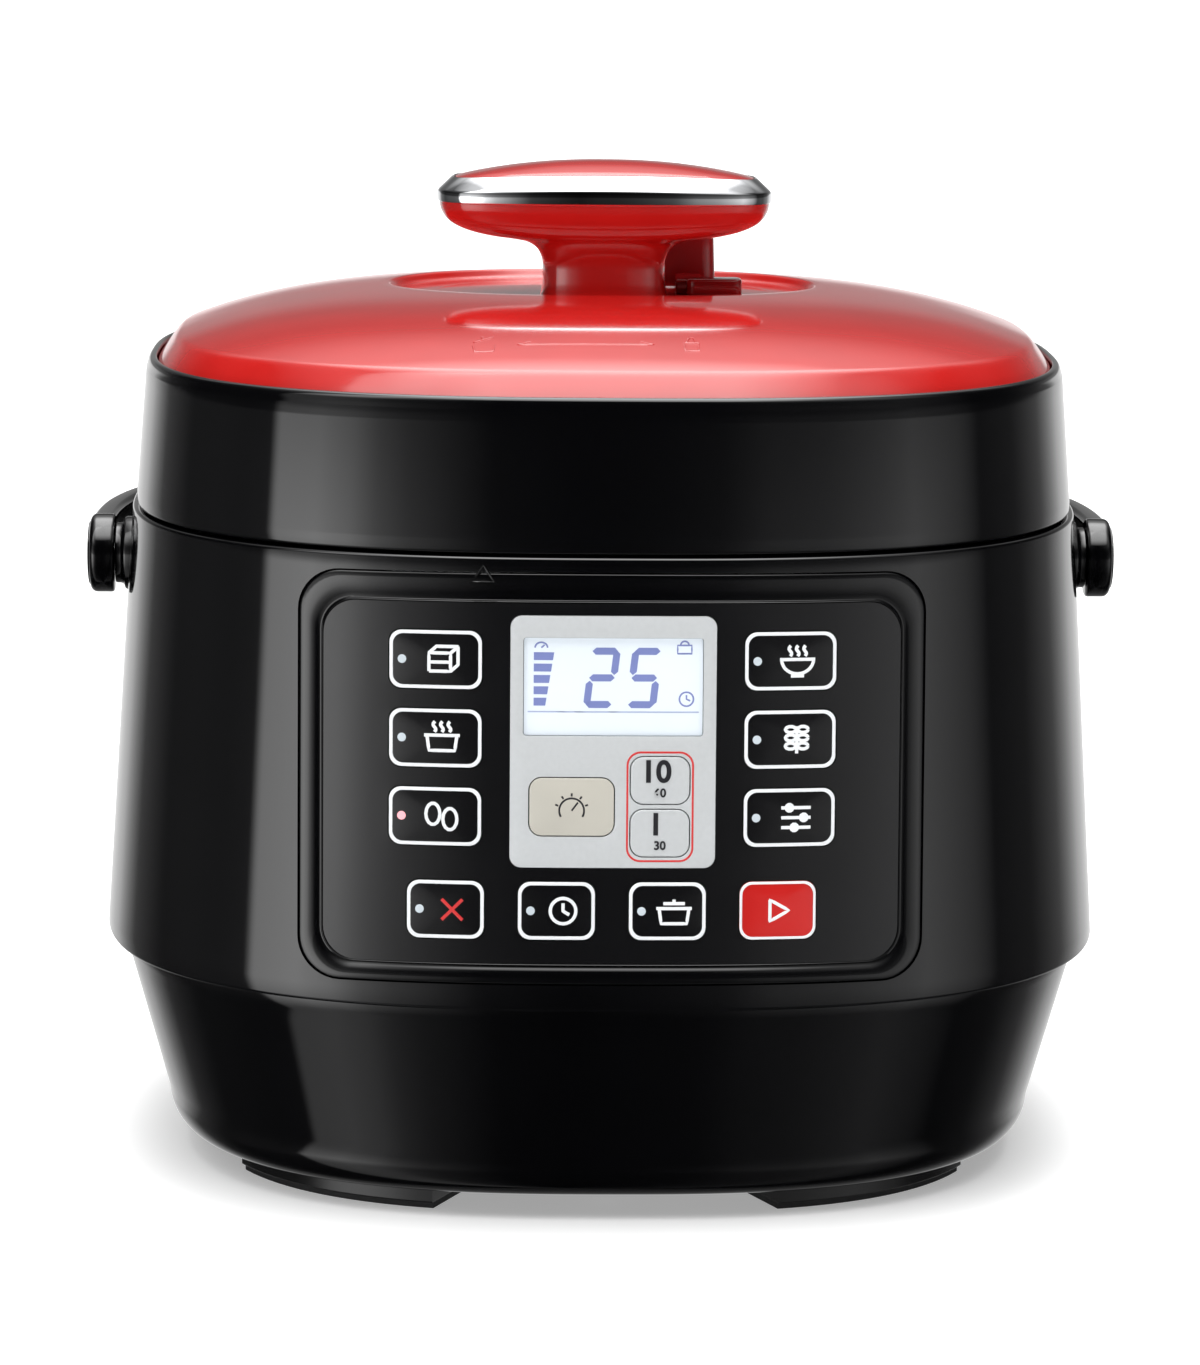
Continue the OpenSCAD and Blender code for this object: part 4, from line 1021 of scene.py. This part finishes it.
def knob():
    controls = [(16.8, 13.6, -24.8), (16.15, 13.0, -22.5), (16.0, 12.8, -18.5), (16.2, 12.9, -15.0),
                (17.6, 13.4, -12.2), (20.6, 14.2, -10.4), (25.4, 15.2, -9.5), (31.0, 16.5, -8.7),
                (36.4, 17.8, -7.3), (40.4, 18.9, -5.2), (42.4, 19.7, -2.4), (42.9, 19.95, 0.2)]
    stretch = (KNOB_Z - BAND_Z) / mm(controls[0][2])
    rings = [knob_ring(mm(a), mm(b), BAND_Z + mm(z) * stretch) for a, b, z in smooth_path(controls, 5)]
    inner = [(42.0, 19.0, 0.4), (40.0, 17.2, -2.2), (33.0, 14.0, -3.6), (20.0, 9.0, -4.2)]
    rings += [knob_ring(mm(a), mm(b), BAND_Z + mm(z)) for a, b, z in inner]
    made = loft("knob_shell", rings)
    dress(made, RED_GLOSS, "lid", "red_gloss", "knob_body")

    band_low, band_mid, band_high = BAND_Z, BAND_Z + mm(3.4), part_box("knob_trim")[1].z + mm(0.4)
    profile = [(0.5, 0.5, band_low - mm(0.3), 0), (0.1, 0.1, band_low, 0), (0, 0, band_low + mm(0.4), 0),
               (0, 0, band_mid - mm(0.25), 0.5), (0.12, 0.1, band_mid + mm(0.05), 0.5),
               (0.4, 0.3, band_mid + mm(0.5), 0.6), (3.6, 2.7, band_high - mm(0.15), 1),
               (4.0, 3.1, band_high, 1), (4.35, 3.5, band_high - mm(0.25), 1),
               (4.4, 3.6, band_low + mm(2), 1), (2, 2, band_low - mm(0.3), 0)]
    rings = [knob_ring(KNOB_A - mm(in_x), KNOB_B - mm(in_y), z, ARCH * share)
             for in_x, in_y, z, share in profile]
    dress(loft("knob_band", rings, closed=True), CHROME, "lid", "chrome_trim", "knob_trim")

    cap_a, cap_b = KNOB_A - mm(4.45), KNOB_B - mm(3.65)
    edge = [(0, 4), (0, 0.5), (0.2, 0.1)]
    rings = [knob_ring(cap_a - mm(inset), cap_b - mm(inset), band_high - mm(down), ARCH)
             for inset, down in edge]
    for share in [1 - k / 14 * 0.985 for k in range(1, 15)]:
        lift = (KNOB_TOP - band_high) * (1 - share**2.2)
        rings.append(knob_ring(cap_a * share, cap_b * share, band_high + lift, ARCH))
    dress(loft("knob_insert", rings), RED_GLOSS, "lid", "red_gloss", "knob_cap")


# ---------- Vent and lever ----------
def vent():
    low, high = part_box("vent_cover")
    cx, cy = (low.x + high.x) / 2, (low.y + high.y) / 2
    w, d = high.x - low.x, high.y - low.y
    flare, edge, r = mm(1.6), mm(1.5), mm(4.5)

    def ring(inset, z):
        outline = rounded_rect(cx, cy, w - 2 * inset, d - 2 * inset, r - inset * 0.5)
        return [Vector((x, y, z)) for x, y in outline]

    rings = []
    for k in range(7):
        t = math.radians(90 * k / 6)
        rings.append(ring(flare * math.sin(t), low.z + flare * (1 - math.cos(t))))
    wall = high.z - edge - low.z - flare
    rings += [ring(flare + mm(0.4) * k / 4, low.z + flare + wall * k / 4) for k in range(1, 5)]
    rings += [ring(flare + mm(0.4) + inset, high.z - edge + rise) for inset, rise in quarter(edge, 5)[1:]]
    rings.append(ring(flare + mm(5), high.z))
    made = loft("vent_block", rings)
    slots = [slab("slot_cutter", rounded_rect(cx, cy + dy, mm(11), mm(1.5), mm(0.7), 4),
                  high.z - mm(1.2), high.z + mm(1)) for dy in mm(-4, 0, 4)]
    cut(made, slots)
    # The vent block takes the darker copy of the red: painted shade.
    dress(made, RED_PAINTED_SHADE, "lid", "red_gloss", "vent_cover")


def lever():
    low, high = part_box("release_lever")
    pipe_x, pipe_y = mm(19, 33)
    z0, z1 = low.z, high.z
    profile = [(mm(5.1), z0), (mm(7.6), z0), (mm(8), z0 + mm(0.4)), (mm(8), z1 - mm(1.2)),
               (mm(7.4), z1 - mm(0.6)), (mm(5.1), z1 - mm(0.6))]
    collar = lathe("collar", profile, lambda u, v, h: Vector((pipe_x + u, pipe_y + v, h)), closed=True)
    outline = [(18.8, 2), (26.4, 2), (26.4, 31), (23, 27), (19.6, 27)]
    arm = slab("arm", [(mm(x), mm(y)) for x, y in outline], z0, z1 - mm(0.6))
    tab = slab("tab", rounded_rect(mm(28.8), mm(1.5), mm(14.4), mm(9), mm(2.2), 6), z0, z1)
    for piece in (arm, tab):
        bevel(piece, mm(0.7))
    made = join("lever_body", [collar, arm, tab])
    # The lever takes the darker copy of the red: painted shade.
    dress(made, RED_PAINTED_SHADE, "lever", "red_gloss", "release_lever")


# ---------- Carry handle ----------
def side_lathe(name, profile, side, count=72):
    """A turned piece about the handle's pivot axis; heights are distances out from the middle."""
    return lathe(name, profile, lambda u, v, h: Vector((side * h, u, PIVOT_Z + v)), count)


def carry_handle():
    """The arched band with a disc at each end, the caps on the discs and the bosses on the body."""
    boss_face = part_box("pivot_bosses")[1].x
    disc_r, height, back_t = mm(10.3, 19, 3.6)
    steps = 96
    sections = []
    for i in range(steps + 1):
        t = math.pi * (0.012 + (1 - 0.024) * i / steps)
        outer = Vector((*superellipse_point(t, ARM_OUT, BAIL_BACK), PIVOT_Z))
        inner = Vector((*superellipse_point(t, ARM_IN, BAIL_BACK - back_t), PIVOT_Z))
        middle, half = (outer + inner) / 2, (outer - inner) / 2
        outline = rounded_rect(0, 0, 2 * half.length, height, mm(1.7), corner=5, parts=2)
        sections.append([middle + half.normalized() * u + Vector((0, 0, v)) for u, v in outline])
    edge = mm(1.8)
    disc = [(mm(0.5), ARM_IN), (disc_r - mm(0.6), ARM_IN), (disc_r - mm(0.15), ARM_IN + mm(0.25)),
            (disc_r, ARM_IN + mm(0.7))]
    disc += [(disc_r - inset, ARM_OUT - edge + rise) for inset, rise in quarter(edge, 6)]
    disc += [(mm(0.5), ARM_OUT)]
    rise, r = CAP_OUT - ARM_OUT, mm(8.3)
    cap = [(r, ARM_OUT - mm(0.1)), (r, ARM_OUT + rise * 0.25), (r - mm(0.3), ARM_OUT + rise * 0.55)]
    for share in (0.85, 0.6, 0.35, 0.1):
        cap.append((r * share, ARM_OUT + rise * (0.6 + 0.4 * (1 - share**2))))
    skin = body_a(PIVOT_Z)
    boss = [(3.1, -3), (9.6, -3), (9.6, 1.4), (9.3, 1.85), (8.6, 2.05), (8.1, 2.5), (7.9, 3)]
    boss = [(mm(r), skin + mm(out)) for r, out in boss]
    boss += [(mm(7.9), boss_face - mm(0.3)), (mm(7.6), boss_face), (mm(3.1), boss_face)]
    discs, caps, bosses = [[side_lathe(name, profile, side) for side in (-1, 1)]
                           for name, profile in (("disc", disc), ("cap", cap), ("boss", boss))]
    made = join("carry_handle", [loft("band", sections)] + discs)
    dress(made, BLACK_GLOSS, "bail", "black_gloss", "bail_handle")
    dress(join("handle_caps", caps), BLACK_GLOSS, "bail", "black_gloss", "pivot_caps")
    dress(join("handle_bosses", bosses), BLACK_GLOSS, "base", "black_gloss", "pivot_bosses")


# ---------- CAD nodes that keep their own shape ----------
NODE_FINISH = {
    STEEL: ("base_screws", "pot_liner", "lock_ring", "heater_legs", "sensor_cup", "sensor_spring",
            "temp_sensor", "pivot_pins", "lid_plate", "plate_screws", "knob_screws", "vent_pipe",
            "pressure_weight", "float_pin", "heating_element"),
    COATING: ("inner_pot",),
    ALUMINIUM: ("heater_plate",),
    SILICONE: ("gasket",),
    DARK_PLASTIC: ("base_plate", "lid_frame", "power_inlet", "switch_bank", "lcd_module"),
    BOARD: ("power_board", "control_board"),
    BRASS: ("inlet_pins", "safety_valve"),
    CERAMIC: ("thermal_fuse",),
}


def dress_nodes():
    for finish, names in NODE_FINISH.items():
        for name in names:
            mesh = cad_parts[name].data
            mesh.materials.clear()
            mesh.materials.append(finish)
    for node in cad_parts.values():
        if not node.hide_render and not node.data.materials:
            node.data.materials.append(DARK_PLASTIC)


# ---------- Studio ----------
def floor():
    """A wide pale sheet that runs past the horizon of every view."""
    count = 96
    turns = [2 * math.pi * i / count for i in range(count)]
    rings = [[Vector((r * math.cos(t), r * math.sin(t), 0)) for t in turns] for r in (0.3, 1, 4, 16, 60)]
    sheet = loft("floor", rings)
    keep = bmesh.new()
    keep.from_mesh(sheet.data)
    outer = [f for f in keep.faces if len(f.verts) == count and max(v.co.length for v in f.verts) > 1]
    bmesh.ops.delete(keep, geom=outer, context="FACES")
    keep.to_mesh(sheet.data)
    keep.free()
    paper = material("floor_paper", (0.86, 0.86, 0.86), 0.9, spread=0.01, grain=0.02, emission=0.4)
    sheet.data.materials.append(paper)
    sheet.visible_glossy = False


def ramp(tree, source, stops):
    """A grey ramp over a value from 0 to 1."""
    node = tree.nodes.new("ShaderNodeValToRGB")
    elements = node.color_ramp.elements
    elements.remove(elements[1])
    for i, (position, grey) in enumerate(stops):
        element = elements.new(position) if i else elements[0]
        element.position = position
        element.color = (grey, grey, grey, 1)
    tree.links.new(source, node.inputs["Fac"])
    return node.outputs["Color"]


def remap(tree, source, low, high):
    """A value brought from between low and high to between 0 and 1."""
    node = tree.nodes.new("ShaderNodeMapRange")
    node.inputs["From Min"].default_value = low
    node.inputs["From Max"].default_value = high
    tree.links.new(source, node.inputs["Value"])
    return node.outputs["Result"]


def blend(tree, kind, first, second):
    """Two colours multiplied or added."""
    node = tree.nodes.new("ShaderNodeMix")
    node.data_type = "RGBA"
    node.blend_type = kind
    node.inputs["Factor"].default_value = 1
    tree.links.new(first, node.inputs["A"])
    tree.links.new(second, node.inputs["B"])
    return node.outputs["Result"]


def studio():
    """Soft light from all round: pale behind, dark in front, a soft box at each side and one overhead."""
    world = bpy.data.worlds.new("studio")
    bpy.context.scene.world = world
    world.use_nodes = True
    tree = world.node_tree
    sky = tree.nodes["Background"]
    where = tree.nodes.new("ShaderNodeTexCoord")
    axes = tree.nodes.new("ShaderNodeSeparateXYZ")
    tree.links.new(where.outputs["Generated"], axes.inputs["Vector"])
    back = tree.nodes.new("ShaderNodeMath")
    back.operation = "MULTIPLY"
    back.inputs[1].default_value = -1
    tree.links.new(axes.outputs["Y"], back.inputs[0])
    bearing = tree.nodes.new("ShaderNodeMath")
    bearing.operation = "ARCTAN2"
    tree.links.new(axes.outputs["X"], bearing.inputs[0])
    tree.links.new(back.outputs[0], bearing.inputs[1])
    share = remap(tree, bearing.outputs[0], -math.pi, math.pi)
    height = remap(tree, axes.outputs["Z"], -1, 1)
    reach = remap(tree, axes.outputs["X"], -1, 1)

    # Grey by bearing in degrees, with 0 in front and positive angles to the right
    round_stops = [(-180, 1.0), (-155, 0.9), (-138, 0.18), (-118, 0.06), (-101, 0.09), (-86, 0.1),
                   (-74, 0.14), (-71, 2.4), (-55, 3.0), (-44, 2.3), (-36, 1.15), (-28, 0.6), (-17, 0.22),
                   (-11, 0.05), (0, 0.01), (12, 0.08), (20, 0.26), (33, 0.38), (49, 0.65), (60, 0.85),
                   (70, 0.6), (80, 0.36), (90, 0.06), (110, 0.08), (130, 0.25), (150, 0.9), (180, 1.0)]
    around = ramp(tree, share, [((degrees + 180) / 360, grey) for degrees, grey in round_stops])
    # Grey by height, from straight down at 0 to straight up at 1
    tall = ramp(tree, height, [(0, 0.08), (0.2, 0.22), (0.38, 0.85), (0.44, 1.0), (0.5, 1.0), (0.525, 0.3),
                               (0.56, 0.3), (0.6, 0.16), (0.68, 0.14), (0.72, 0.2), (0.76, 0.45), (0.82, 0.9),
                               (0.9, 1.0), (1, 0.6)])
    above = ramp(tree, height, [(0.84, 0.0), (0.93, 1.7), (1.0, 2.2)])
    middle = ramp(tree, reach, [(0.28, 0.4), (0.42, 2.6), (0.6, 2.6), (0.74, 0.4)])
    sides = blend(tree, "MULTIPLY", around, tall)
    overhead = blend(tree, "MULTIPLY", above, middle)
    tree.links.new(blend(tree, "ADD", sides, overhead), sky.inputs["Color"])
    sky.inputs["Strength"].default_value = 1.0


def camera():
    """A long lens from in front, a little above the lid and a touch to the left."""
    distance, height, yaw, tilt, roll = 1.3552, 0.3427, 0.027, 0.165, 0.009
    data = bpy.data.cameras.new("view")
    data.lens = 137.3
    data.clip_end = 200
    eye = bpy.data.objects.new("view", data)
    bpy.context.scene.collection.objects.link(eye)
    eye.location = (-distance * math.sin(yaw), -distance * math.cos(yaw), height)
    forward = Vector((math.sin(yaw) * math.cos(tilt), math.cos(yaw) * math.cos(tilt), -math.sin(tilt)))
    turn = forward.to_track_quat("-Z", "Y").to_matrix() @ Matrix.Rotation(roll, 3, "Z")
    eye.rotation_euler = turn.to_euler()
    bpy.context.scene.camera = eye


upper_shell()
lower_shell()
feet()
body_triangle()
panel_frame()
panel_notch()
panel_sheet()
bezel()
keys()
key_marks()
time_keys()
pressure_mark()
display()
lamps()
lid_ring()
lid_cover()
lid_marks()
knob()
vent()
lever()
carry_handle()
dress_nodes()
floor()
studio()
camera()
bpy.context.scene.view_settings.view_transform = "Standard"
